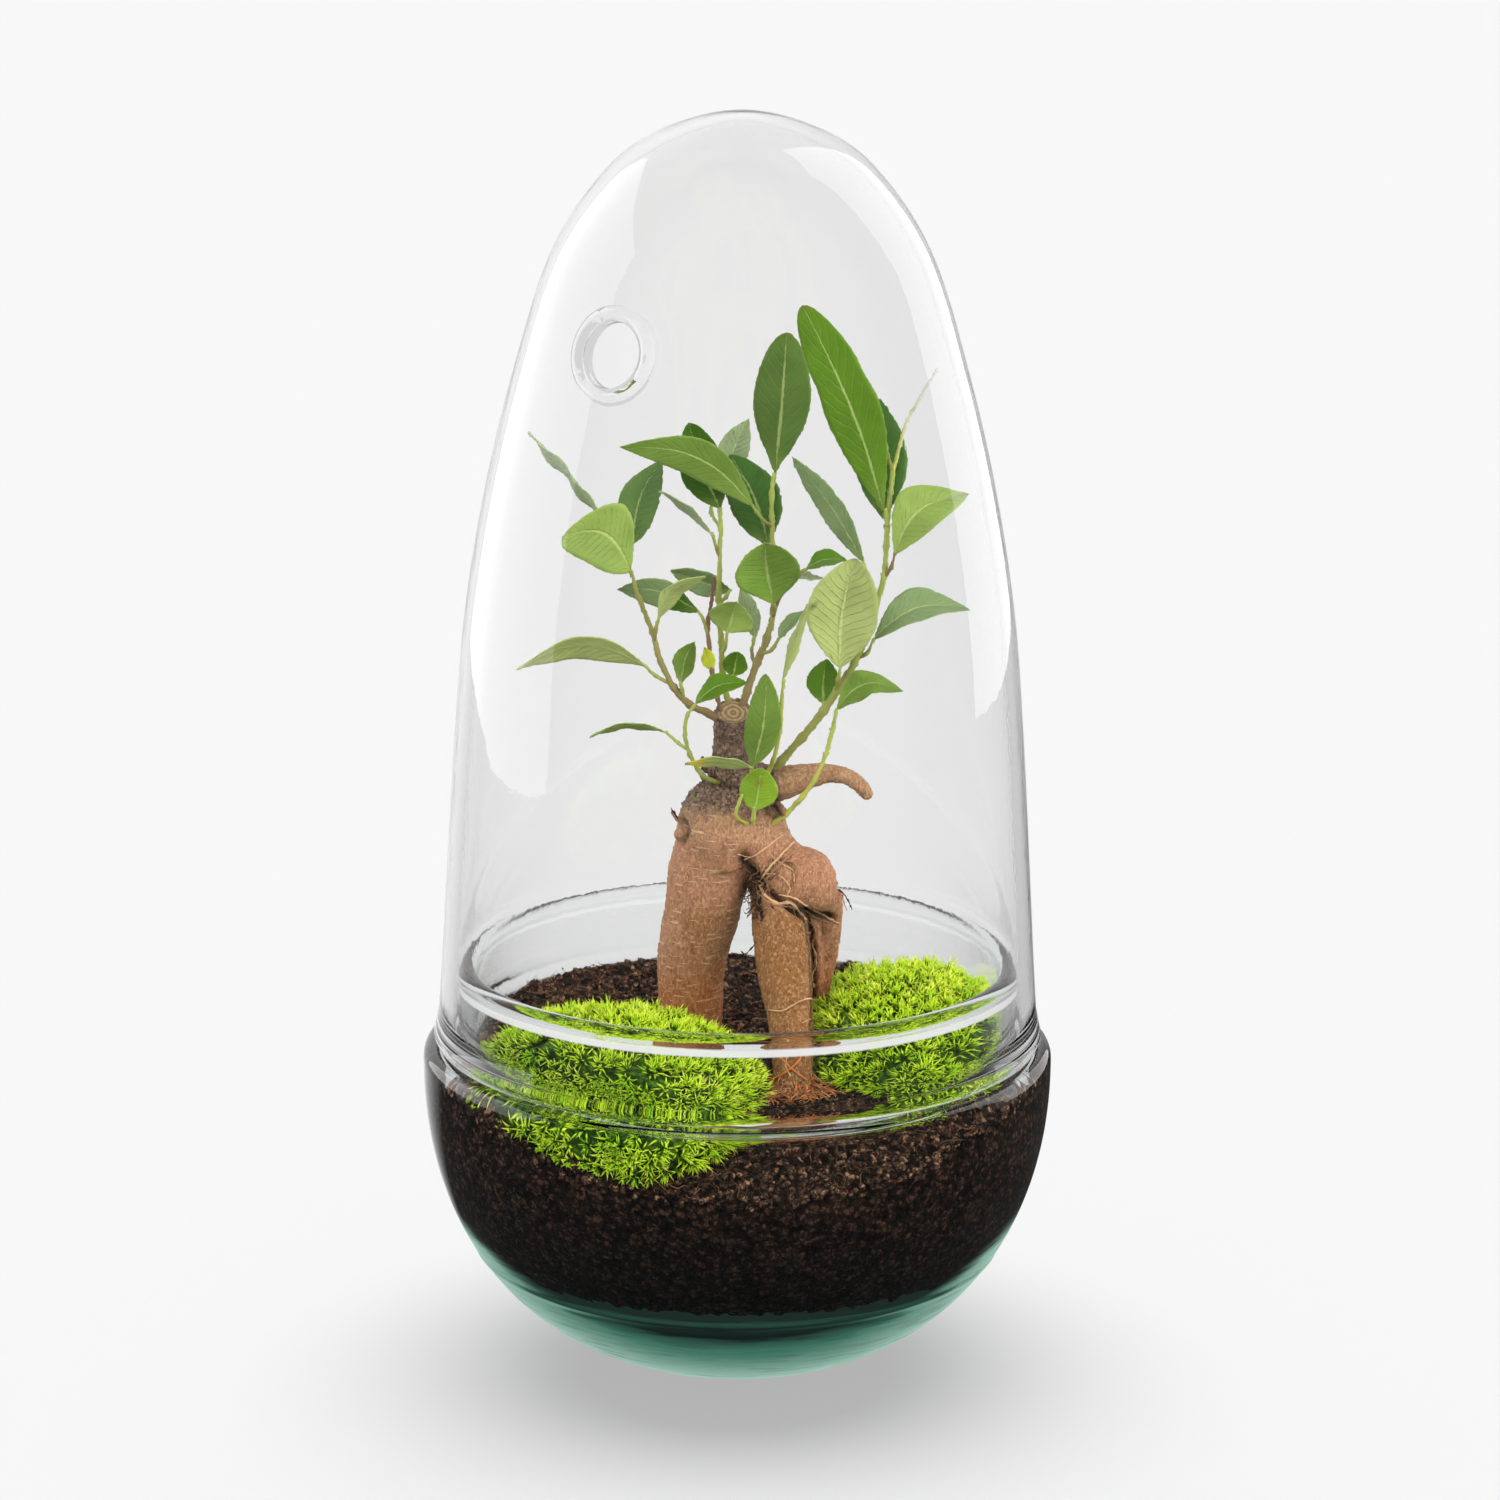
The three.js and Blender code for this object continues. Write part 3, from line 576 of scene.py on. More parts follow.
def soil_material(name, dark, light):
    """Near black, with brown crumbs of many shades and dark painted shade in the gaps between them."""
    material, make = new_material(name)
    where = make.stretched()
    made = grain(make, where, 110.0, 1700.0)
    wander = make.node("ShaderNodeTexNoise", {"Vector": where, "Scale": 700.0, "Detail": 4.0})
    bent = make.vector("MULTIPLY", wander.outputs["Color"], (0.003,) * 3)
    bent = make.vector("ADD", bent, where)
    cells = make.cells(bent, 800.0)
    specks = make.cells(bent, 2300.0)
    shade = make.channels(cells["Color"])[0]
    speck = make.channels(specks["Color"])[1]
    crumb = make.scaled(light, (3.4, 3.1, 2.9))
    gap_shade = make.window(cells["Distance"], 0.3, 0.6)
    colour = make.mix(made["Broad"], dark, light)
    colour = make.mix(make.window(shade, 0.5, 1.0, 0.0, 0.8), colour, crumb)
    colour = make.mix(make.window(speck, 0.86, 1.0, 0.0, 0.8), colour, crumb)
    colour = make.mix(make.window(shade, 0.0, 0.35, 0.9, 0.0), colour, srgb(8, 5, 4))
    # painted shade: near black in the gaps between the crumbs
    colour = make.mix(make.times(gap_shade, 0.8), colour, srgb(6, 4, 3))
    # darker towards the bottom of the soil
    lower_dark = make.window(make.axis(where, "Z"), *DARKER_LOW_ENDS, 0.85, 0.0)
    colour = make.mix(lower_dark, colour, srgb(6, 5, 5))
    height = make.minus(made["Height"], cells["Distance"])
    rough = make.window(made["Fine"], 0, 1, 0.62, 0.95)
    natural_surface(make, colour, rough, height, 0.9, 0.0012, Specular_IOR_Level=0.25)
    return material


def tinted_material(name, spread, roughness, broad, fine, relief, stretch=(1, 1, 1)):
    """A matte natural finish whose colour lies in the piece's tone."""
    material, make = new_material(name)
    tone = make.attribute("tone")
    made = grain(make, make.stretched(stretch), broad, fine)
    darker = make.scaled(tone, (1 - spread,) * 3)
    lighter = make.scaled(tone, (1 + spread,) * 3)
    colour = make.mix(made["Broad"], darker, lighter)
    colour = make.mix(make.times(made["Fine"], 0.5), darker, colour)
    rough = make.window(made["Fine"], 0, 1, roughness - 0.1, roughness + 0.1)
    natural_surface(make, colour, rough, made["Height"], 0.6, relief)
    return material


def leaf_material():
    """tone is the colour of the leaf's side; blade holds across, along and underside."""
    material, make = new_material("ficus_leaf")
    tone = make.attribute("tone")
    sideways, along, under = make.channels(make.attribute("blade"))
    across = make.math("ABSOLUTE", make.minus(make.times(sideways, 2.0), 1.0))
    rib_width = make.window(along, 0.0, 1.0, 0.12, 0.025)
    rib = make.window(make.math("DIVIDE", across, rib_width), 0.4, 1.0, 1.0, 0.0)
    made = grain(make, make.stretched(), 150.0, 1900.0)
    slant = make.minus(make.times(along, 13.0), make.times(across, 2.6))
    slant = make.plus(slant, make.times(made["Broad"], 0.5))
    wave = make.math("ABSOLUTE", make.minus(make.math("FRACT", slant), 0.5))
    veins = make.times(make.window(wave, 0.36, 0.5), make.window(across, 0.7, 1.0, 1.0, 0.0))
    beside = make.window(wave, 0.16, 0.34, 0.0, make.window(wave, 0.34, 0.42, 0.06, 0.0))
    edge = make.window(across, 0.93, 1.0)
    dark = make.scaled(tone, (0.72, 0.76, 0.66))
    pale = make.mix(0.6, tone, srgb(206, 218, 140))
    colour = make.mix(make.window(made["Broad"], 0, 1, 0.25, 1.0), dark, tone)
    for share, over in ((make.times(made["Fine"], 0.2), dark), (make.times(veins, 0.08), pale),
                        (beside, dark), (make.times(rib, 0.7), pale), (make.times(edge, 0.3), pale)):
        colour = make.mix(share, colour, over)
    ridges = make.plus(make.times(rib, 1.2), make.times(veins, 0.5))
    signed = make.times(ridges, make.window(under, 0, 1, -0.6, 1.0))
    height = make.plus(signed, make.times(made["Height"], 0.6))
    rough = make.plus(make.window(under, 0, 1, 0.3, 0.55), make.times(made["Fine"], 0.08))
    natural_surface(make, colour, rough, height, 0.7, 0.0006)
    return material


def bark_pores(make):
    """Short pale lines across the bark, fewer on the right of the trunk."""
    pores = make.noise(make.stretched((0.12, 0.12, 1)), 2000.0, 1.0, 0.3)
    side = make.axis(make.stretched(), "X")
    return make.window(pores, 0.65, 0.68, 0.0, make.window(side, 0.0, 0.003, 1.0, 0.2))


def cut_wood(make, patch):
    """The ringed wood of the pruned face."""
    where = make.stretched()
    rings = make.vector("DISTANCE", where, tuple(place(CUT_MIDDLE) * MM))
    rings = make.plus(make.times(rings, 5200.0), make.times(patch["Broad"], 5.0))
    rings = make.window(make.math("SINE", rings), -1, 1)
    rings = make.times(rings, make.noise(where, 1500.0, 4.0))
    return make.mix(make.window(rings, 0, 0.7), srgb(150, 116, 78), srgb(226, 198, 154))


def bark_material():
    """skin holds crust, cut face and the painted shade of the creases; tone is the colour of the bark
    there.
    """
    material, make = new_material("ficus_bark")
    crust, cut, crease_shade = make.channels(make.attribute("skin"))
    tone = make.attribute("tone")
    fibre = grain(make, make.stretched((1, 1, 0.2)), 1900.0, 4400.0)
    patch = grain(make, make.stretched((1, 1, 0.6)), 110.0, 1900.0)
    flake = make.channels(make.cells(make.stretched((1, 1, 0.5)), 2600.0)["Color"])[0]
    pores = bark_pores(make)
    dark = make.scaled(tone, (0.36, 0.29, 0.25))
    pale = make.mix(0.45, tone, srgb(226, 190, 146))
    rough_skin = make.mix(make.window(patch["Fine"], 0.4, 0.85), srgb(44, 32, 30), srgb(168, 142, 124))
    layers = (
        (make.window(patch["Broad"], 0, 1, 0.35, 0.0), dark),
        (make.window(flake, 0.62, 1.0, 0.0, 0.8), pale),
        (make.window(flake, 0.0, 0.3, 0.5, 0.0), dark),
        (make.window(fibre["Broad"], 0.0, 0.4, 0.65, 0.0), dark),
        (make.window(fibre["Fine"], 0.7, 1.0, 0.0, 0.4), pale),
        (make.times(pores, 0.8), srgb(222, 184, 142)),
        (make.times(crust, make.window(fibre["Broad"], 0, 1, 1.0, 0.7)), rough_skin),
        # painted shade in the creases
        (make.times(crease_shade, 0.95), srgb(22, 14, 12)),
        (cut, cut_wood(make, patch)),
    )
    colour = tone
    for share, over in layers:
        colour = make.mix(share, colour, over)
    height = make.plus(fibre["Height"], make.times(patch["Height"], 0.5))
    height = make.plus(height, make.times(flake, 0.3))
    height = make.plus(height, make.times(pores, 0.4))
    rough = make.window(fibre["Fine"], 0, 1, 0.6, 0.9)
    natural_surface(make, colour, rough, height, 1.0, 0.0006)
    return material


def moss_material():
    """shoot holds how far up a leaf of the moss lies; tint differs from shoot to shoot."""
    material, make = new_material("living_moss")
    made = grain(make, make.stretched(), 75.0, 600.0)
    along = make.channels(make.attribute("shoot"))[0]
    along = make.plus(along, make.window(made["Fine"], 0, 1, -0.2, 0.2))
    tint = make.attribute("tint", "Fac")
    hue = make.plus(make.times(tint, 0.55), make.times(made["Broad"], 0.45))
    tip, middle, root = (make.ramp(hue, MOSS_HUES[part]) for part in ("tip", "middle", "root"))
    colour = make.mix(make.window(along, 0.12, 0.66), root, middle)
    colour = make.mix(make.window(along, 0.55, 0.95), colour, tip)
    rough = make.window(made["Fine"], 0, 1, 0.42, 0.62)
    natural_surface(make, colour, rough, made["Height"], 0.3, 0.0004)
    return material


# ---- curves and turned forms ----
VIEW_DISTANCE = 1230
EYE_HEIGHT = 148.6
TO_VIEWER = np.array([0, -math.cos(CAMERA_PITCH), math.sin(CAMERA_PITCH)])


def place(point):
    """Across, height as seen from the front and above, and depth, to a point in space."""
    across, up, away = point
    grow = 1 + away * math.cos(CAMERA_PITCH) / VIEW_DISTANCE
    height = EYE_HEIGHT + (up - EYE_HEIGHT) * grow - away * math.tan(CAMERA_PITCH)
    return np.array([across * grow, away, height])


def seen(points):
    """Where points in space are seen from the front: across and height."""
    grow = 1 + points[:, 1] * math.cos(CAMERA_PITCH) / VIEW_DISTANCE
    up = EYE_HEIGHT + (points[:, 2] + points[:, 1] * math.tan(CAMERA_PITCH) - EYE_HEIGHT) / grow
    return np.column_stack([points[:, 0] / grow, up])


def hermite(start, end, leave, arrive, w):
    return ((2 * w ** 3 - 3 * w ** 2 + 1) * start + (w ** 3 - 2 * w ** 2 + w) * leave
            + (3 * w ** 2 - 2 * w ** 3) * end + (w ** 3 - w ** 2) * arrive)


def smooth_path(control, count):
    """Points of a centripetal Catmull-Rom curve through the control points."""
    control = np.asarray(control, float)
    last = len(control) - 1
    found = []
    for step in np.linspace(0, last, count):
        low = min(int(step), last - 1)
        p1, p2 = control[low], control[low + 1]
        p0 = control[low - 1] if low > 0 else 2 * p1 - p2
        p3 = control[low + 2] if low + 2 <= last else 2 * p2 - p1
        d0, d1, d2 = (max(np.linalg.norm(b - a) ** 0.5, 1e-4) for a, b in ((p0, p1), (p1, p2), (p2, p3)))
        leave = ((p1 - p0) / d0 - (p2 - p0) / (d0 + d1) + (p2 - p1) / d1) * d1
        arrive = ((p2 - p1) / d1 - (p3 - p1) / (d1 + d2) + (p3 - p2) / d2) * d1
        found.append(hermite(p1, p2, leave, arrive, step - low))
    return np.array(found)


def unit(vector):
    return vector / np.linalg.norm(vector)


def tube(path, radii, sides):
    """A closed round tube along a path, with its radius at each point."""
    path = np.asarray(path, float)
    radii = np.broadcast_to(radii, len(path))
    ahead = np.gradient(path, axis=0)
    ahead /= np.linalg.norm(ahead, axis=1)[:, None]
    normal = np.cross(ahead[0], (0.3, 0.9, 0.2))
    angles = np.linspace(0, 2 * math.pi, sides, endpoint=False)
    rings = []
    for point, forward, radius in zip(path, ahead, radii):
        normal = unit(normal - forward * normal.dot(forward))
        other = np.cross(forward, normal)
        around = np.outer(np.cos(angles), normal) + np.outer(np.sin(angles), other)
        rings.append(point + radius * around)
    points = np.vstack([*rings, path[:1], path[-1:]])
    start, end = len(points) - 2, len(points) - 1
    faces = []
    for j in range(sides):
        k = (j + 1) % sides
        faces += [(i * sides + j, i * sides + k, (i + 1) * sides + k, (i + 1) * sides + j)
                  for i in range(len(path) - 1)]
        faces.append((start, k, j))
        faces.append((end, start - sides + j, start - sides + k))
    return points, faces


def spread_radii(radii, count):
    """Radii listed evenly along a path, read at count places."""
    return np.interp(np.linspace(0, len(radii) - 1, count), range(len(radii)), radii)


def rounded(corners, steps=6):
    """A line through corners of [radius, height, rounding], with an arc at each rounded corner."""
    line = []
    for i, (x, y, rounding) in enumerate(corners):
        here = np.array([x, y], float)
        if rounding == 0 or i in (0, len(corners) - 1):
            line.append(here)
            continue
        before = unit(np.array(corners[i - 1][:2]) - here)
        after = unit(np.array(corners[i + 1][:2]) - here)
        half = math.acos(np.clip(before.dot(after), -1, 1)) / 2
        reach = rounding / math.tan(half)
        middle = here + unit(before + after) * rounding / math.sin(half)
        first, second = here + before * reach - middle, here + after * reach - middle
        for w in np.linspace(0, 1, steps):
            line.append(middle + unit(first * (1 - w) + second * w) * rounding)
    return line


def turned(profile, sides, ring=False):
    """A profile of [radius, height] turned round the Z axis. A ring's profile closes on itself."""
    angles = np.linspace(0, 2 * math.pi, sides, endpoint=False)
    points, rows = [], []
    for radius, height in profile:
        if radius < 1e-6:
            rows.append([len(points)] * sides)
            points.append((0, 0, height))
        else:
            rows.append(list(range(len(points), len(points) + sides)))
            points += [(radius * math.cos(a), radius * math.sin(a), height) for a in angles]
    pairs = list(zip(rows, rows[1:])) + ([(rows[-1], rows[0])] if ring else [])
    faces = []
    for low, high in pairs:
        for j in range(sides):
            k = (j + 1) % sides
            face = [low[j], low[k], high[k], high[j]]
            face = [corner for n, corner in enumerate(face) if corner != face[n - 1]]
            if len(face) > 2:
                faces.append(tuple(face))
    points = np.array(points)
    return points, outward(points, faces)


def capped_rings(count, sides):
    """Faces over rings of points, from a single first point to a single last one."""
    last = count * sides + 1
    faces = []
    for j in range(sides):
        k = (j + 1) % sides
        faces.append((0, 1 + j, 1 + k))
        for low in range(1, last - sides, sides):
            high = low + sides
            faces.append((low + j, high + j, high + k, low + k))
        faces.append((last, last - sides + k, last - sides + j))
    return faces


def outward(points, faces):
    """The faces of one closed form, turned so that they point out."""
    volume = 0
    for face in faces:
        a = points[face[0]]
        for i in range(1, len(face) - 1):
            volume += a.dot(np.cross(points[face[i]], points[face[i + 1]]))
    return faces if volume > 0 else [tuple(reversed(face)) for face in faces]


# ---- glass ----
BOWL_RADIUS = 75.2
BOWL_WIDEST = 73.4
BOWL_DEPTH = 75.4
BOWL_SWELL = 2 / 2.42
BOWL_FALL = 2 / 2.15
BOWL_START = 0.34
BOWL_RIM_GAP = 0.02
BOWL_STEPS = 110
BOWL_INSIDE_STEPS = 90
BOWL_WALL = 3.6
BASE_THICKNESS = 12
FOOT_RADIUS = 24
FOOT_ROUNDING = 4
NECK_RADIUS = 66.4
NECK_WALL = 3.2
NECK_TOP = 98.8
LIP_MIDDLE = 64.6
LIP_RADIUS = 2.1
LIP_BLEND = 3.2
LIP_SOFTNESS = 1.3
LIP_STEPS = 14
ABOVE_NECK = 150
LEDGE = 77.5
LEDGE_INSIDE = 74.6
# from the inside of the neck, out and up, along the bend into the ledge
LEDGE_BEND = [(7.9, -0.6), (6.6, -0.1), (4.2, 0), (1.3, 1.2), (0, 4.2)]
MOULD_LINE = 27
MOULD_RIDGE = 0.3
MOULD_WIDTH = 0.7
GLASS_SIDES = 160
GLASS_SHARP = math.radians(38)

DOME_POINTS = [
    (72, 77.6), (70.6, 98), (69, 125), (67.2, 153), (64.7, 181.7), (60.1, 210),
    (53.3, 238.5), (44.2, 267), (31.8, 285.8), (18.9, 295.3), (0, 300), (-18.9, 295.3),
]
DOME_WALL = 3.4
DOME_STEPS = 100
DOME_START = 0.05
RIM_MIDDLE = (70.3, 80.2)
RIM_BEAD = 2.3
BEAD_STEPS = 22
VENT_AROUND = Matrix.Rotation(math.radians(-36), 3, "Z")
VENT_LEAN = Matrix.Rotation(math.radians(90 - 14.6), 3, "X")
VENT_PLACE = (0, -49.7, 250)
VENT_HOLE = 7.5
VENT_LIP = 11.7
VENT_LIP_THICKNESS = 4.8
VENT_SURROUND = 5
VENT_DEPTH = 9
VENT_BORE = 20
VENT_SIDES = 96
VENT_RING_STEPS = 28


def bowl_outside(t):
    return [BOWL_RADIUS * math.sin(t) ** BOWL_SWELL,
            BOWL_WIDEST - BOWL_DEPTH * math.cos(t) ** BOWL_FALL]


def bowl_inside(t, clearance=0.0):
    radius = (BOWL_RADIUS - BOWL_WALL - clearance) * math.sin(t) ** BOWL_SWELL
    depth = BOWL_WIDEST - BASE_THICKNESS - clearance
    return [radius, BOWL_WIDEST - depth * max(math.cos(t), 0.0) ** BOWL_FALL]


def inside_radius(height, clearance):
    """How far out the inside of the bowl and its neck reaches at a height."""
    neck = NECK_RADIUS - NECK_WALL - clearance
    curve = [bowl_inside(t, clearance) for t in np.linspace(0, math.pi / 2, 120)]
    curve += [[neck + out, LEDGE_INSIDE + up] for out, up in LEDGE_BEND]
    curve.append([neck, ABOVE_NECK])
    radii, heights = zip(*curve)
    return np.interp(height, heights, radii)


def round_lip():
    """Corners of the swollen lip that ends the neck, from its outside over the top to its inside."""
    low = NECK_TOP - LIP_RADIUS
    rise = [(low - LIP_BLEND * (1 - w), math.exp(-(LIP_BLEND * (1 - w) / LIP_SOFTNESS) ** 2))
            for w in np.linspace(0, 1, LIP_STEPS)[:-1]]
    outer = LIP_MIDDLE + LIP_RADIUS - NECK_RADIUS
    inner = NECK_RADIUS - NECK_WALL - LIP_MIDDLE + LIP_RADIUS
    out = [(NECK_RADIUS + outer * share, z, 0) for z, share in rise]
    over = [(LIP_MIDDLE + LIP_RADIUS * math.cos(a), low + LIP_RADIUS * math.sin(a), 0)
            for a in np.linspace(0, math.pi, 2 * LIP_STEPS - 2)]
    back = [(NECK_RADIUS - NECK_WALL - inner * share, z, 0) for z, share in reversed(rise)]
    return out + over + back


def guided(line, reach=0.15):
    """Adds points close to both ends of every long straight part, so that its shading stays flat."""
    found = [np.array(line[0], float)]
    for point in line[1:]:
        start, end = found[-1], np.array(point, float)
        length = np.linalg.norm(end - start)
        if length > 8 * reach:
            step = (end - start) * reach / length
            found += [start + step, end - step]
        found.append(end)
    return found


def make_bowl(material):
    rim_angle = math.pi / 2 - BOWL_RIM_GAP
    outside = [bowl_outside(t) for t in np.linspace(BOWL_START, rim_angle, BOWL_STEPS)]
    for point in outside:
        point[0] += MOULD_RIDGE * math.exp(-((point[1] - MOULD_LINE) / MOULD_WIDTH) ** 2)
    collar = rounded([
        (BOWL_RADIUS, BOWL_WIDEST, 0),
        (BOWL_RADIUS - 0.1, LEDGE - 0.3, 3.0),
        (NECK_RADIUS, LEDGE + 0.1, 1.8),
        *round_lip(),
        (NECK_RADIUS - NECK_WALL, LEDGE_INSIDE, 4.2),
        (BOWL_RADIUS - BOWL_WALL - 0.1, LEDGE_INSIDE, 1.1),
        (BOWL_RADIUS - BOWL_WALL, BOWL_WIDEST, 0),
    ], steps=9)
    inside = [bowl_inside(t) for t in np.linspace(rim_angle, 0, BOWL_INSIDE_STEPS)]
    inside[-1][0] = 0
    foot = rounded([(0, 0, 0), (FOOT_RADIUS, 0, FOOT_ROUNDING), (*outside[0], 0)])
    profile = foot[:-1] + outside + collar + inside
    bowl = mesh_object("glass_bowl_blown", *turned(guided(profile), GLASS_SIDES))
    bowl.data.materials.append(material)
    finish_piece(bowl, "clear_glass", "glass_bowl")


def dome_profile(offset, fractions):
    points = np.array(DOME_POINTS, float)
    last = len(points) - 1
    line = []
    for fraction in fractions:
        step = fraction * (last - 1)
        low = min(int(step), last - 2)
        start, end = points[low], points[low + 1]
        leave = (end - points[max(low - 1, 0)]) / 2
        arrive = (points[low + 2] - start) / 2
        here = hermite(start, end, leave, arrive, step - low)
        ahead = unit(hermite(start, end, leave, arrive, step - low + 1e-4) - here)
        line.append([here[0] - ahead[1] * offset, here[1] + ahead[0] * offset])
    return line


def at_vent(shape):
    matrix = VENT_AROUND.to_4x4() @ Matrix.Translation(VENT_PLACE) @ VENT_LEAN.to_4x4()
    points, faces = shape
    return np.array([matrix @ Vector(p) for p in points]), faces


def cut_or_join(piece, tool, operation):
    step = piece.modifiers.new("join", "BOOLEAN")
    step.operation = operation
    step.object = tool
    step.solver = "EXACT"
    apply_modifiers(piece)
    discard(tool)


def vent_faces(mesh):
    """1 for each face of the vent's lip and of the glass close round it, 0 for the rest."""
    axis = VENT_AROUND @ VENT_LEAN @ Vector((0, 0, 1))
    middle = VENT_AROUND @ Vector(VENT_PLACE)
    found = []
    for face in mesh.polygons:
        away = face.center / MM - middle
        along = away.dot(axis)
        beside = (away - axis * along).length
        found.append(int(beside < VENT_LIP + VENT_SURROUND and abs(along) < VENT_DEPTH))
    return found


def make_dome(material, lip_material):
    outside = dome_profile(0, np.linspace(DOME_START, 1, DOME_STEPS))
    inside = dome_profile(DOME_WALL, np.linspace(1, DOME_START, DOME_STEPS))
    outside[-1][0] = 0
    inside[0][0] = 0
    bead = [[RIM_MIDDLE[0] + RIM_BEAD * math.cos(a), RIM_MIDDLE[1] - RIM_BEAD * math.sin(a)]
            for a in np.linspace(1.15 * math.pi, -0.15 * math.pi, BEAD_STEPS)]
    dome = mesh_object("glass_dome_blown", *turned(inside + bead + outside, GLASS_SIDES))
    wide = VENT_HOLE + 0.2
    hole = turned([[0, -VENT_BORE], [wide, -VENT_BORE], [wide, VENT_BORE], [0, VENT_BORE]], VENT_SIDES)
    cut_or_join(dome, mesh_object("vent_hole", *at_vent(hole)), "DIFFERENCE")
    middle = (VENT_HOLE + VENT_LIP) / 2
    half = (VENT_LIP - VENT_HOLE) / 2
    ring = [[middle + half * math.cos(a), -DOME_WALL / 2 + VENT_LIP_THICKNESS / 2 * math.sin(a)]
            for a in np.linspace(0, 2 * math.pi, VENT_RING_STEPS, endpoint=False)]
    cut_or_join(dome, mesh_object("vent_lip", *at_vent(turned(ring, VENT_SIDES, ring=True))), "UNION")
    shade_faces(dome.data)
    dome.data.set_sharp_from_angle(angle=GLASS_SHARP)
    dome.data.materials.clear()
    dome.data.materials.append(material)
    dome.data.materials.append(lip_material)
    dome.data.polygons.foreach_set("material_index", vent_faces(dome.data))
    finish_piece(dome, "clear_glass", "glass_dome")


# ---- scattering with geometry nodes ----
def scatter_inputs(tree):
    """Gives the tree its named inputs, and says by which identifier a modifier knows each."""
    inputs = {"Geometry": ("Geometry", None), "Shapes": ("Collection", None),
              "Material": ("Material", None), "Density": ("Float", 1000.0), "Smallest": ("Float", 0.7),
              "Largest": ("Float", 1.3), "Lean": ("Float", 0.3), "Seed": ("Int", SEED)}
    sockets = {}
    for name, (kind, value) in inputs.items():
        socket = tree.interface.new_socket(name, in_out="INPUT", socket_type="NodeSocket" + kind)
        if value is not None:
            socket.default_value = value
        sockets[name] = socket.identifier
    return sockets


def drawn_value(make, seed, kind, low, high):
    """A value drawn for each point between low and high, from the seed."""
    made = make.node("FunctionNodeRandomValue", {"Seed": seed}, data_type=kind)
    first = {"FLOAT": 2, "FLOAT_VECTOR": 0}[kind]
    make.put(made.inputs[first], low)
    make.put(made.inputs[first + 1], high)
    return made.outputs[1 if kind == "FLOAT" else 0]


def scatter_tree():
    """Small shapes set at random on a surface, standing on it and leaning a little."""
    tree = bpy.data.node_groups.new("scatter", "GeometryNodeTree")
    sockets = scatter_inputs(tree)
    tree.interface.new_socket("Geometry", in_out="OUTPUT", socket_type="NodeSocketGeometry")
    make = Maker(tree)
    given = make.node("NodeGroupInput").outputs
    size_seed, turn_seed, tint_seed = (make.plus(given["Seed"], salt) for salt in (11.0, 23.0, 37.0))
    cover = make.node("GeometryNodeInputNamedAttribute", {"Name": "cover"}, data_type="FLOAT")
    spots = make.node("GeometryNodeDistributePointsOnFaces", {
        "Mesh": given["Geometry"], "Seed": given["Seed"],
    }, distribute_method="RANDOM")
    make.put(spots.inputs["Density"], make.times(given["Density"], cover))
    shapes = make.node("GeometryNodeCollectionInfo", {
        "Collection": given["Shapes"], "Separate Children": True, "Reset Children": True})
    size = drawn_value(make, size_seed, "FLOAT", given["Smallest"], given["Largest"])
    stood = make.node("GeometryNodeInstanceOnPoints", {
        "Points": spots.outputs["Points"], "Instance": shapes, "Pick Instance": True,
        "Rotation": spots.outputs["Rotation"], "Scale": size})
    back = make.times(given["Lean"], -1.0)
    low = make.node("ShaderNodeCombineXYZ", {"X": back, "Y": back, "Z": 0.0})
    high = make.node("ShaderNodeCombineXYZ", {"X": given["Lean"], "Y": given["Lean"], "Z": 2 * math.pi})
    spun = make.node("GeometryNodeRotateInstances", {
        "Instances": stood, "Rotation": drawn_value(make, turn_seed, "FLOAT_VECTOR", low, high)})
    tinted = make.node("GeometryNodeStoreNamedAttribute", {
        "Geometry": spun, "Name": "tint", "Value": drawn_value(make, tint_seed, "FLOAT", 0.0, 1.0),
    }, data_type="FLOAT", domain="INSTANCE")
    real = make.node("GeometryNodeRealizeInstances", {"Geometry": tinted})
    done = make.node("GeometryNodeSetMaterial", {"Geometry": real, "Material": given["Material"]})
    make.node("NodeGroupOutput", {"Geometry": done})
    return tree, sockets


def scatter(name, ground, shapes, material, **sizes):
    """A new piece of the shapes scattered over ground, where its cover is above 0."""
    holder = bpy.data.collections.new(name + "_shapes")
    for shape in shapes:
        holder.objects.link(shape)
        bpy.context.scene.collection.objects.unlink(shape)
    piece = add_object(name, ground.data.copy())
    step = piece.modifiers.new("scatter", "NODES")
    step.node_group = SCATTER
    for label, value in {"Shapes": holder, "Material": material, **sizes}.items():
        step[SCATTER_SOCKETS[label]] = value
    apply_modifiers(piece)
    for shape in shapes:
        discard(shape)
    bpy.data.collections.remove(holder)
    shade_faces(piece.data)
    return piece


SCATTER, SCATTER_SOCKETS = scatter_tree()


# ---- soil ----
SOIL_LEVEL = 77
SOIL_FRONT_FALL = 0.0032
SOIL_BACK_RISE = 0.04
SOIL_MOUND = {"x": -38, "y": 22, "high": 2.4, "spread": 420}
SOIL_CLEARANCE = 0.3
SOIL_BITE = 1.2
SOIL_FIRST_EDGE = 66.0
SOIL_EDGE_ROUNDS = 60
DRY_BELOW = 27
WET_ABOVE = 33
SOIL_SIDES = 380
SOIL_TOP_RINGS = 58
SOIL_WALL_RINGS = 84
# how many to a square metre
CRUMB_DENSITY = 340000.0
FIBRE_DENSITY = 52000.0
FIBRE_DARK = srgb(58, 38, 28)
FIBRE_PALE = srgb(150, 104, 68)


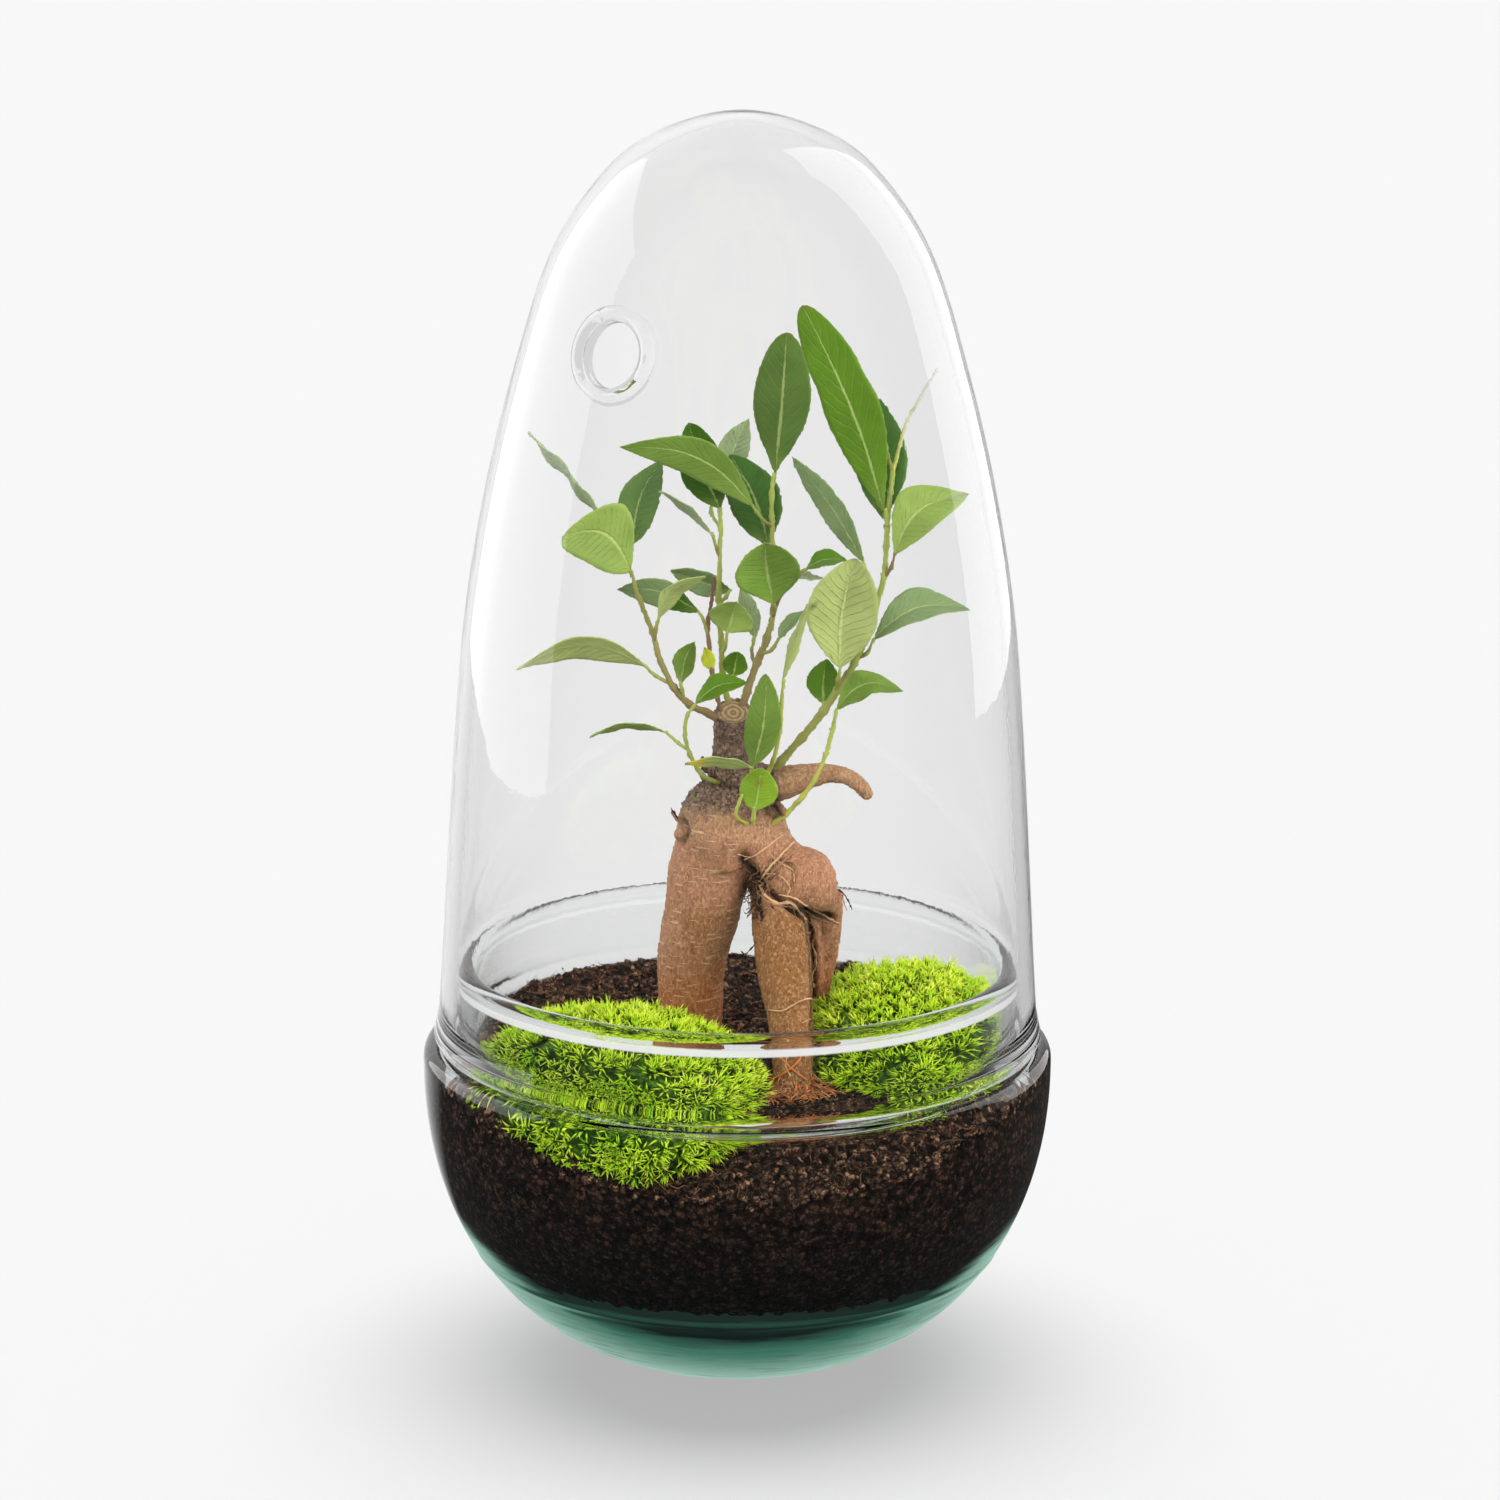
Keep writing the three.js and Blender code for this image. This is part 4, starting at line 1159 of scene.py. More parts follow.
def soil_height(x, y):
    """The top of the soil, which falls to the front, rises to the back and has one low mound."""
    slope = np.where(y > 0, SOIL_BACK_RISE * y, -SOIL_FRONT_FALL * y * y)
    from_mound = (x - SOIL_MOUND["x"]) ** 2 + (y - SOIL_MOUND["y"]) ** 2
    mound = SOIL_MOUND["high"] * np.exp(-from_mound / SOIL_MOUND["spread"])
    bumps = 0.6 * np.sin(0.31 * x + 1.3) * np.cos(0.27 * y) + 0.35 * np.sin(0.7 * x - 0.55 * y)
    return SOIL_LEVEL + slope + mound + bumps


def press_inside(points, clearance):
    """Moves points that would stand in the glass back to its inside."""
    reach = np.hypot(points[:, 0], points[:, 1])
    limit = inside_radius(points[:, 2], 0) - clearance
    share = np.where(reach > limit, limit / np.maximum(reach, 1e-6), 1.0)
    points[:, :2] *= share[:, None]
    return points


def keep_inside(piece, clearance):
    """Presses the whole piece back from the glass."""
    write_points(piece.data, press_inside(read_points(piece.data), clearance))


def soil_bite(height):
    """How far the damp soil clings into the glass, so that no air shows between. Low down it is dry."""
    return SOIL_BITE * soft_step(height, DRY_BELOW, WET_ABOVE)


def soil_form():
    """Rings of points over the top of the soil and down its wall, and the height of its bottom."""
    angles = np.linspace(0, 2 * math.pi, SOIL_SIDES, endpoint=False)
    across, deep = np.cos(angles), np.sin(angles)
    edge = np.full(SOIL_SIDES, SOIL_FIRST_EDGE)
    for _ in range(SOIL_EDGE_ROUNDS):
        brim = soil_height(edge * across, edge * deep)
        edge = 0.6 * edge + 0.4 * (inside_radius(brim, SOIL_CLEARANCE) + soil_bite(brim))
    bottom = BASE_THICKNESS + SOIL_CLEARANCE
    rings = []
    for share in np.linspace(1 / SOIL_TOP_RINGS, 1, SOIL_TOP_RINGS):
        x, y = edge * share * across, edge * share * deep
        rings.append(np.column_stack([x, y, soil_height(x, y)]))
    brim = rings[-1][:, 2]
    for share in np.linspace(0, 1, SOIL_WALL_RINGS + 2)[1:-1]:
        z = bottom + (brim - bottom) * (1 - share) ** 1.7
        radius = inside_radius(z, SOIL_CLEARANCE) + soil_bite(z)
        rings.append(np.column_stack([radius * across, radius * deep, z]))
    return rings, bottom


def make_soil(material):
    rings, bottom = soil_form()
    points = np.vstack([[[0, 0, soil_height(0.0, 0.0)]], *rings, [[0, 0, bottom]]])
    number = np.arange(len(points))
    top = number <= (SOIL_TOP_RINGS - 2) * SOIL_SIDES
    lumps = crumbs_at(points, 3.2, 1) * 0.9 + crumbs_at(points, 1.5, 2) * 0.5
    points[top, 2] += 0.9 - 1.15 * lumps[top] + 0.8 * noise_at(points[top], 7, 3)
    wall = ~top
    wall[-1] = False
    points[wall, :2] *= (1 - 0.6 * lumps[wall] / np.hypot(*points[wall, :2].T))[:, None]
    points = press_inside(points, SOIL_CLEARANCE - soil_bite(points[:, 2]))
    soil = mesh_object("soil_packed", points, capped_rings(len(rings), SOIL_SIDES))
    soil.data.materials.append(material)
    write_cover(soil.data, (number <= (SOIL_TOP_RINGS + 1) * SOIL_SIDES).astype(float))
    return soil


def crumb_shapes(count):
    """Rough lumps about 2 mm across."""
    shapes = []
    for number in range(count):
        shaper = bmesh.new()
        bmesh.ops.create_icosphere(shaper, subdivisions=1, radius=1 * MM)
        for vertex in shaper.verts:
            stretch = 1 + 0.45 * noise.noise(vertex.co / MM + Vector((number * 9.1, 3.3, 1.7)))
            vertex.co = vertex.co * stretch
            vertex.co.z *= 0.75
        mesh = bpy.data.meshes.new("crumb")
        shaper.to_mesh(mesh)
        shaper.free()
        shapes.append(add_object(mesh.name, mesh))
    return shapes


def strand_shapes(count, length, radius, draw):
    """Thin curved fibres that lie along the ground."""
    shapes = []
    for number in range(count):
        bends = [(draw.uniform(-1, 1), draw.uniform(0, 0.9)) for _ in range(4)]
        path = [((i / 3 - 0.5) * length, 0.22 * length * side, 0.16 * length * lift)
                for i, (side, lift) in enumerate(bends)]
        line = smooth_path(path, 6)
        thick = radius * np.sin(np.linspace(0.35, math.pi - 0.2, 6))
        shapes.append(mesh_object(f"strand_{number}", *tube(line, thick, 3)))
    return shapes


def join_pieces(name, pieces):
    """One mesh of several pieces, with the material of the first."""
    whole = bmesh.new()
    for piece in pieces:
        whole.from_mesh(piece.data)
    mesh = bpy.data.meshes.new(name)
    whole.to_mesh(mesh)
    whole.free()
    for material in pieces[0].data.materials:
        mesh.materials.append(material)
    for piece in pieces:
        discard(piece)
    return add_object(name, mesh)


# ---- trunk with its swollen roots ----
TRUNK_LIMBS = [
    # left leg
    ([[-3, 128, 0], [-6.4, 119, 0], [-8.4, 110, 0], [-10.2, 102, 0.5], [-11.2, 94, 1],
      [-11.4, 86, 1.5], [-11.2, 76, 2], [-11, 64, 2]], [11, 10.2, 9.2, 8.5, 8.2, 8, 7.6, 6.2]),
    # body
    ([[0.8, 145, 0], [0.8, 140, 0], [-0.8, 134.5, 0], [-1.7, 129, 0], [-1, 122, 0]],
     [6.2, 8.2, 12, 13.2, 12]),
    # haunch
    ([[1, 131, -1], [4.5, 125, -2.5], [8.4, 120.6, -4.4], [12, 118.2, -6], [16.2, 116.2, -6.4],
      [19.2, 113.6, -6.2], [21.8, 111.2, -5.4]], [10, 8.8, 7.8, 7.7, 8.3, 6.2, 2.6]),
    # front leg
    ([[8.6, 117, -6], [9.6, 109, -9], [10.6, 101, -13], [11.6, 93, -17], [12.6, 84, -22],
      [13.1, 76, -26], [13.2, 66, -31], [13, 54, -36]], [6.6, 6.9, 6.7, 6.4, 5.7, 5.2, 4.5, 3.2]),
    # thin root behind
    ([[20.5, 113, -1], [21.8, 106, 1], [21.3, 98, 3], [20, 90, 4], [18.8, 82, 5], [17.2, 66, 6]],
     [4.4, 3.1, 2.5, 2.2, 2.0, 1.6]),
    # wood between the front leg and the root behind, darkened by the painted shade of a crease
    ([[15.5, 112, -2], [17.2, 106, 0], [18.2, 98, 1], [18, 90, 1.5], [17.2, 80, 2], [16.4, 68, 2]],
     [4.5, 3.0, 2.4, 2.2, 2.0, 1.8]),
    # bare arm
    ([[5, 140, -1], [11, 141, -2], [16, 142.4, -3], [21, 143.2, -4], [25.5, 142.4, -5],
      [28.8, 140.3, -5], [31, 137.4, -5]], [5.2, 4.1, 3.2, 2.4, 2.0, 1.8, 1.2]),
    # knobs and broken twigs on the left shoulder
    ([[-12.6, 130.4, -2], [-14.4, 131.6, -3], [-16.2, 134, -4]], [1.5, 0.8, 0.35]),
    ([[-11.5, 127.5, -2], [-14.2, 128.4, -3], [-14.8, 126.8, -3.4]], [2.2, 1.3, 0.8]),
    ([[-11.5, 123.5, -2], [-14, 124.6, -3], [-14.3, 122.4, -3.2]], [2.2, 1.2, 0.7]),
    ([[8, 134.5, -7], [10, 133.6, -9], [10.6, 132.2, -9.5]], [2.2, 1.5, 0.8]),
    ([[-6, 143.5, -2], [-8.4, 145.2, -3], [-8.8, 147.5, -3.4]], [1.6, 0.9, 0.5]),
]
STUMP = ([[-1.4, 168, 0], [-1.4, 158, 0], [-1.6, 150, 0], [-0.6, 142, 0]], [4.1, 4.2, 4.5, 6.4])
CUT_MIDDLE = (-1.4, 157.9, 0)
CUT_SLANT = math.radians(33)
CUT_FACING = (0, -math.sin(CUT_SLANT), math.cos(CUT_SLANT))
STUMP_STEPS = 26
TRUNK_SIDES = 30
BARK_VOXEL = 0.5

# Lines pressed into the bark, as seen from the front: route, depth, half width, how dark their painted
# shade is
CREASES = [
    ([(1.8, 121.4), (2.7, 119.0), (3.0, 116.0), (3.4, 112.5), (3.8, 109.0)], 2.2, 1.9, 1.0),
    ([(3.6, 117.6), (5.8, 115.2), (8.4, 113.2), (10.7, 111.7), (13.2, 110.0), (15.6, 108.8),
      (18.6, 107.9), (22.4, 107.4)], 2.4, 1.0, 1.0),
    ([(16.6, 108.6), (17.2, 106.0), (18.0, 99.3), (18.6, 89.0), (18.5, 78.7)], 1.5, 0.9, 1.0),
    ([(7.4, 121.6), (10.4, 122.0), (12.6, 120.6), (13.2, 117.8), (12.4, 115.0)], 0.6, 0.5, 0.35),
    ([(-13.6, 132.2), (-12.2, 129.4), (-13.4, 126.0)], 0.9, 0.8, 0.6),
    ([(-6.0, 141.5), (-2.0, 139.6), (3.6, 139.4), (7.6, 141.4)], 0.7, 0.9, 0.5),
    ([(6.6, 138.4), (8.6, 135.4), (9.6, 132.6)], 1.1, 1.0, 0.9),
    ([(-5.6, 151.5), (-1.5, 150.4), (3.0, 151.2)], 0.3, 0.5, 0.2),
    ([(-5.4, 147.2), (-1.0, 146.2), (3.4, 147.0)], 0.35, 0.6, 0.3),
]
LEG_BARK = srgb(192, 134, 100)
FRONT_BARK = srgb(158, 104, 55)
TOP_BARK = srgb(188, 142, 106)
LOW_BARK = srgb(194, 112, 62)
STUMP_BARK = srgb(124, 94, 82)


def distance_to_route(spots, route):
    """How far each spot is from a line through the route's points."""
    best = np.full(len(spots), 1e9)
    for start, end in zip(np.array(route[:-1]), np.array(route[1:])):
        run = end - start
        share = np.clip((spots - start).dot(run) / run.dot(run), 0, 1)
        best = np.minimum(best, np.linalg.norm(spots - start - share[:, None] * run, axis=1))
    return best


def cut_stump():
    """The pruned end of the trunk, cut off on a slant."""
    path, radii = STUMP
    line = smooth_path([place(p) for p in path], STUMP_STEPS)
    stump = mesh_object("stump", *tube(line, spread_radii(radii, STUMP_STEPS), TRUNK_SIDES))
    shaper = bmesh.new()
    shaper.from_mesh(stump.data)
    cut = bmesh.ops.bisect_plane(
        shaper, geom=shaper.verts[:] + shaper.edges[:] + shaper.faces[:], clear_outer=True,
        plane_co=Vector(place(CUT_MIDDLE)) * MM, plane_no=Vector(CUT_FACING))
    rim = [part for part in cut["geom_cut"] if isinstance(part, bmesh.types.BMEdge)]
    bmesh.ops.edgeloop_fill(shaper, edges=rim)
    shaper.to_mesh(stump.data)
    shaper.free()
    return stump


def make_trunk(material):
    parts = Parts()
    for path, radii in TRUNK_LIMBS:
        count = 8 * len(path)
        line = smooth_path([place(p) for p in path], count)
        parts.add(tube(line, spread_radii(radii, count), TRUNK_SIDES))
    trunk = join_pieces("ficus_trunk_grown", [parts.build("limbs", []), cut_stump()])
    skin = trunk.modifiers.new("skin", "REMESH")
    skin.mode = "VOXEL"
    skin.voxel_size = BARK_VOXEL * MM
    soften = trunk.modifiers.new("soften", "SMOOTH")
    soften.factor = 0.5
    soften.iterations = 7
    apply_modifiers(trunk)
    carve_bark(trunk.data)
    shade_faces(trunk.data)
    trunk.data.materials.append(material)
    finish_piece(trunk, "bark", "ficus_trunk")
    return trunk


def bark_creases(spots, normals):
    """How far the creases press each point in, and how dark their painted shade makes it."""
    front = soft_step(-normals[:, 1], -0.35, 0.15)
    push, crease_shade = np.zeros(len(spots)), np.zeros(len(spots))
    for route, depth, width, dark in CREASES:
        near = np.exp(-(distance_to_route(spots, route) / width) ** 2) * front
        push -= depth * near
        crease_shade = np.maximum(crease_shade, dark * near)
    return push, crease_shade


def cut_and_crust(points, normals, spots):
    """Where the pruned face, the collar round it and the rough crust lie."""
    middle = place(CUT_MIDDLE)
    above = (points - middle).dot(CUT_FACING)
    flat = soft_step(normals.dot(CUT_FACING), 0.8, 0.95) * (np.abs(above) < 1.2)
    from_middle = np.linalg.norm(points - middle, axis=1)
    cut = flat * (1 - soft_step(from_middle, 3.2, 3.8))
    collar = np.exp(-((above + 0.6) / 1.1) ** 2) * (from_middle < 8) * (1 - cut)
    wild = noise_at(points, 5.0, 8) + 0.7 * noise_at(points, 1.6, 9)
    crust = (soft_step(spots[:, 1] + 2.2 * wild, 131.5, 135.5) * (1 - soft_step(spots[:, 1], 146, 150))
             * (1 - soft_step(spots[:, 0] + 1.5 * wild, 7.5, 11)))
    crust = np.maximum(crust * 0.95, 0.55 * soft_step(spots[:, 1], 147, 152) * (1 - cut))
    return cut, collar, np.maximum(crust, collar * 0.8)


def bark_tone(points, spots, broad):
    """The colour of the bark at each point: grey above, orange low down, darker near and under the soil.
    """
    tone = np.array([LEG_BARK] * len(points))
    forward = soft_step(points[:, 1], -5, -12) * soft_step(spots[:, 1], 112, 106)
    upper = soft_step(spots[:, 1], 122, 132)
    stump = soft_step(spots[:, 1], 143, 148) * (spots[:, 0] < 5)
    low = soft_step(spots[:, 1] + 6 * broad, 104, 84) * (1 - forward)
    for share, colour in ((low, LOW_BARK), (forward, FRONT_BARK), (upper, TOP_BARK), (stump, STUMP_BARK)):
        tone += share[:, None] * (np.array(colour) - tone)
    return tone * (1 - 0.3 * soft_step(spots[:, 1], 74, 64))[:, None]


def carve_bark(mesh):
    """Presses creases into the bark, roughens it and writes where crust, cut and the painted shade of the
    creases lie.
    """
    points, normals = read_points(mesh), read_normals(mesh)
    spots = seen(points)
    push, crease_shade = bark_creases(spots, normals)
    cut, collar, crust = cut_and_crust(points, normals, spots)
    broad = noise_at(points, 9, 4)
    grainy = noise_at(points * [1, 1, 0.3], 1.1, 5)
    flaky = crumbs_at(points, 1.6, 6)
    push += (0.35 * broad + 0.11 * grainy) * (1 - cut)
    push += crust * (0.55 - 1.0 * flaky) * (1 - cut) + 0.35 * collar
    points += normals * push[:, None]
    write_points(mesh, points)
    ones = np.ones(len(points))
    write_colour(mesh, "skin", np.column_stack([crust, cut, crease_shade, ones]))
    write_colour(mesh, "tone", np.column_stack([bark_tone(points, spots, broad), ones]))


# ---- fine roots ----
ROOT_BROWN = srgb(184, 138, 98)
ROOT_PALE = srgb(228, 184, 138)
ROOT_DARK = srgb(70, 44, 36)
ROOT_ORANGE = srgb(232, 136, 70)
ROOTLET_GIRTH = 1.35

# Rootlets that lie on the trunk, as seen from the front: route, thickness, how far off, colour
ROOTLETS = [
    ([(13.2, 126.4), (9.6, 122.6), (6.6, 119.0), (5.0, 116.6)], 0.5, 0.5, ROOT_PALE),
    ([(14.0, 125.0), (10.6, 121.4), (7.6, 118.4), (5.4, 115.4)], 0.34, 0.7, ROOT_BROWN),
    ([(10.4, 128.2), (6.8, 125.0), (3.2, 122.6), (-0.4, 123.4)], 0.26, 0.2, ROOT_PALE),
    ([(8.6, 126.8), (4.6, 123.4), (1.4, 121.8)], 0.24, 0.2, ROOT_PALE),
    ([(6.2, 117.0), (8.6, 119.6), (11.2, 121.6), (13.4, 121.0), (14.2, 118.6)], 0.34, 0.4, ROOT_BROWN),
    ([(5.8, 118.4), (8.4, 118.6), (10.8, 117.2), (12.2, 115.2), (11.6, 113.2)], 0.28, 0.4, ROOT_PALE),
    ([(7.4, 123.2), (10.2, 121.0), (12.8, 119.4), (13.2, 116.6)], 0.24, 0.3, ROOT_PALE),
    ([(5.2, 115.6), (6.6, 113.0), (9.4, 111.2), (12.4, 111.4), (14.4, 109.4), (16.2, 107.2)],
     0.62, 0.6, ROOT_PALE),
    ([(4.6, 114.0), (7.2, 111.6), (10.2, 110.6), (12.8, 110.2), (13.8, 107.6)], 0.36, 0.5, ROOT_BROWN),
    ([(9.6, 113.4), (13.2, 112.6), (16.8, 110.4), (20.4, 108.4), (24.0, 106.2)], 0.4, 0.5, ROOT_PALE),
    ([(15.6, 109.8), (18.8, 107.6), (21.6, 106.4)], 0.26, 0.5, ROOT_BROWN),
    ([(16.2, 107.4), (17.8, 105.2), (16.8, 103.8), (15.4, 105.0), (16.2, 106.8)], 0.24, 0.5, ROOT_BROWN),
    ([(17.2, 107.4), (18.4, 104.2), (17.8, 101.2), (18.7, 98.2), (18.1, 95.2)], 0.34, 0.6, ROOT_BROWN),
    ([(18.2, 99.6), (18.8, 96.4), (17.9, 93.2), (18.4, 90.4)], 0.24, 0.5, ROOT_PALE),
    ([(23.8, 114.8), (25.3, 113.4), (26.2, 112.0), (27.1, 109.8)], 0.3, 0.3, ROOT_DARK),
    ([(24.8, 113.6), (25.2, 111.6), (26.0, 109.6)], 0.22, 0.3, ROOT_BROWN),
    ([(7.2, 84.8), (10.6, 84.6), (14.4, 86.8), (17.4, 87.6), (19.6, 86.2), (19.2, 84.0), (15.4, 81.6)],
     0.3, 0.9, ROOT_PALE),
    ([(4.2, 101.4), (3.0, 99.8), (1.6, 98.6), (0.8, 99.4)], 0.22, 0.3, ROOT_DARK),
    ([(-14.4, 131.8), (-15.2, 133.4), (-16.0, 134.6)], 0.4, 0.2, ROOT_DARK),
    ([(-8.2, 145.6), (-9.2, 143.2), (-8.6, 141.0)], 0.4, 0.3, ROOT_DARK),
    ([(-10.0, 136.2), (-11.0, 137.8), (-11.3, 139.4)], 0.24, 0.3, srgb(120, 160, 60)),
    ([(8.2, 76.6), (10.2, 73.4), (13.2, 70.2), (16.4, 67.6)], 0.36, 0.6, ROOT_ORANGE),
    ([(16.0, 76.0), (14.6, 72.6), (11.6, 69.8), (8.4, 67.8)], 0.34, 0.7, ROOT_ORANGE),
    ([(11.8, 78.2), (12.2, 74.8), (11.4, 71.6), (12.6, 68.6)], 0.3, 0.5, ROOT_PALE),
]
LOOSE_ROOT = ([(1.4, 74.8, -33), (4.6, 76.0, -33.6), (7.8, 77.4, -32)], 0.5, ROOT_ORANGE)
CLEFT_HAIRS = 60
MAT_MIDDLE = (13.8, -34.5)
MAT_REACH = 9.0
MAT_STRANDS = 210
LEG_FOOT = (12.9, -31.0)
# a route is laid on the bark along lines of sight that start and end here
IN_FRONT = -80
BEHIND_TRUNK = 30
USUAL_DEPTH = 76


def bark_tree(trunk):
    shaper = bmesh.new()
    shaper.from_mesh(trunk.data)
    tree = BVHTree.FromBMesh(shaper)
    shaper.free()
    return tree


def onto_bark(tree, route, lift):
    """The route laid on the trunk as the eye sees it from the front, lift away from the bark."""
    found = []
    depth = None
    for across, up in route:
        start, end = place((across, up, IN_FRONT)), place((across, up, BEHIND_TRUNK))
        ahead = unit(end - start)
        hit = tree.ray_cast(Vector(start) * MM, Vector(ahead))[0]
        if hit is not None:
            depth = np.linalg.norm(np.array(hit) / MM - start)
        found.append((start, ahead, depth))
    nearest = next((depth for _, _, depth in found if depth is not None), USUAL_DEPTH)
    return [start + ahead * ((depth or nearest) - lift) for start, ahead, depth in found]


def make_rootlets(trunk, material):
    tree = bark_tree(trunk)
    parts = Parts()
    for route, thick, lift, colour in ROOTLETS:
        fine = [tuple(p[:2]) for p in smooth_path([(x, y, 0) for x, y in route], 4 * len(route))]
        line = smooth_path(onto_bark(tree, fine, lift), 7 * len(route))
        taper = 0.5 + 0.5 * np.sin(np.linspace(0.4, math.pi * 0.88, len(line)))
        radii = 0.5 * ROOTLET_GIRTH * thick * taper
        radii *= 1 + 0.3 * noise_at(line, 1.3, 12)
        parts.add(tube(line, radii, 7), tone=(*colour, 1))
    route, thick, colour = LOOSE_ROOT
    parts.add(tube(smooth_path([place(p) for p in route], 14), thick / 2, 7), tone=(*colour, 1))
    draw = random.Random(SEED)
    for _ in range(MAT_STRANDS):
        parts.add(mat_strand(draw), tone=(*mat_colour(draw), 1))
    for _ in range(CLEFT_HAIRS):
        shade = ROOT_BROWN if draw.random() < 0.6 else ROOT_DARK
        parts.add(cleft_hair(tree, draw), tone=(*shade, 1))
    finish_piece(parts.build("fine_roots", [material]), "bark")


def mat_colour(draw):
    orange, brown = np.array(ROOT_ORANGE), np.array(ROOT_BROWN)
    share = draw.random()
    return (orange * (1 - share) + brown * share) * draw.uniform(0.3, 1.3)


def mat_strand(draw):
    """One fibre of the orange mat round the foot of the front leg."""
    angle = draw.uniform(0, 2 * math.pi)
    far = MAT_REACH * math.sqrt(draw.random())
    x, y = MAT_MIDDLE[0] + far * math.cos(angle), MAT_MIDDLE[1] + 0.75 * far * math.sin(angle)
    heading = draw.uniform(0, 2 * math.pi)
    length = draw.uniform(4, 12)
    rise = draw.uniform(0.8, 3.4)
    path = []
    for step in np.linspace(0, 1, 5):
        px = x + length * (step - 0.5) * math.cos(heading) + draw.uniform(-1.2, 1.2)
        py = y + length * (step - 0.5) * math.sin(heading) + draw.uniform(-1.2, 1.2)
        lift = -0.6 + rise * math.sin(math.pi * step)
        near_leg = math.hypot(px - LEG_FOOT[0], py - LEG_FOOT[1])
        lift += 3.6 * math.exp(-(near_leg / 6.0) ** 2)
        path.append((px, py, float(soil_height(px, py)) + lift))
    line = smooth_path(path, 12)
    return tube(line, draw.uniform(0.12, 0.27) * np.sin(np.linspace(0.4, math.pi - 0.15, 12)), 5)


def cleft_hair(tree, draw):
    """One short hair in the dark cleft between the legs."""
    across, up = draw.uniform(1.6, 8.0), draw.uniform(108.5, 119.5)
    route = [(across, up)]
    for _ in range(3):
        across += draw.uniform(-1.6, 1.7)
        up += draw.uniform(-2.2, 1.8)
        route.append((across, up))
    line = smooth_path(onto_bark(tree, route, draw.uniform(0.3, 1.3)), 12)
    return tube(line, draw.uniform(0.08, 0.17) * np.sin(np.linspace(0.5, math.pi - 0.1, 12)), 4)


# ---- leafy stems ----
LEAF_ROWS = 26
LEAF_COLUMNS = 12
LEAF_THICKNESS = 0.42
LEAF_EDGE = 0.16
TWIG_SIDES = 8
TWIG_SLIMNESS = 0.74

LEAF_GAIN = np.array([0.96, 0.95, 0.76])
LEAF_TONES = {
    "fresh": srgb(146, 182, 50), "young": srgb(128, 162, 72), "lime": srgb(150, 174, 94),
    "soft": srgb(146, 168, 88), "mid": srgb(112, 142, 60), "broad": srgb(94, 124, 58),
    "deep": srgb(88, 128, 26),
    "bright": srgb(92, 132, 22), "dark": srgb(62, 104, 12), "pine": srgb(70, 112, 50),
    "grey": srgb(102, 134, 82), "silver": srgb(134, 156, 118), "mist": srgb(162, 178, 150),
    "pale": srgb(184, 196, 132), "yellow": srgb(206, 212, 60),
}
UNDERSIDE_TONES = ("pale", "soft", "mist")
PALE_SIDE = srgb(168, 184, 124)
TWIGS = {
    "wood": srgb(150, 122, 84), "olive": srgb(160, 160, 82), "green": srgb(174, 190, 92),
    "yellow": srgb(208, 206, 84), "red": srgb(128, 80, 70), "thread": srgb(206, 208, 206),
}

# A leaf that is only slightly bent. STEMS says where a leaf differs from it: bow is its bend
# sideways, arch its bend to the back, fold how far the sides rise from the midrib, roll its turn in
# degrees, wave how wavy the sides are, widest and end the form of its outline.
PLAIN_LEAF = {"bow": 0, "arch": 1, "fold": 0.25, "roll": 0, "wave": 0.25, "droop": 0, "waist": 0,
              "widest": 0.95, "end": 0.65, "hook": False, "specks": False, "spot": None}


def ficus_leaf(base, tip, width, tone, **bends):
    """A leaf from its base to its tip. tone is the colour of the side that shows."""
    return PLAIN_LEAF | {"base": base, "tip": tip, "width": width, "tone": tone} | bends


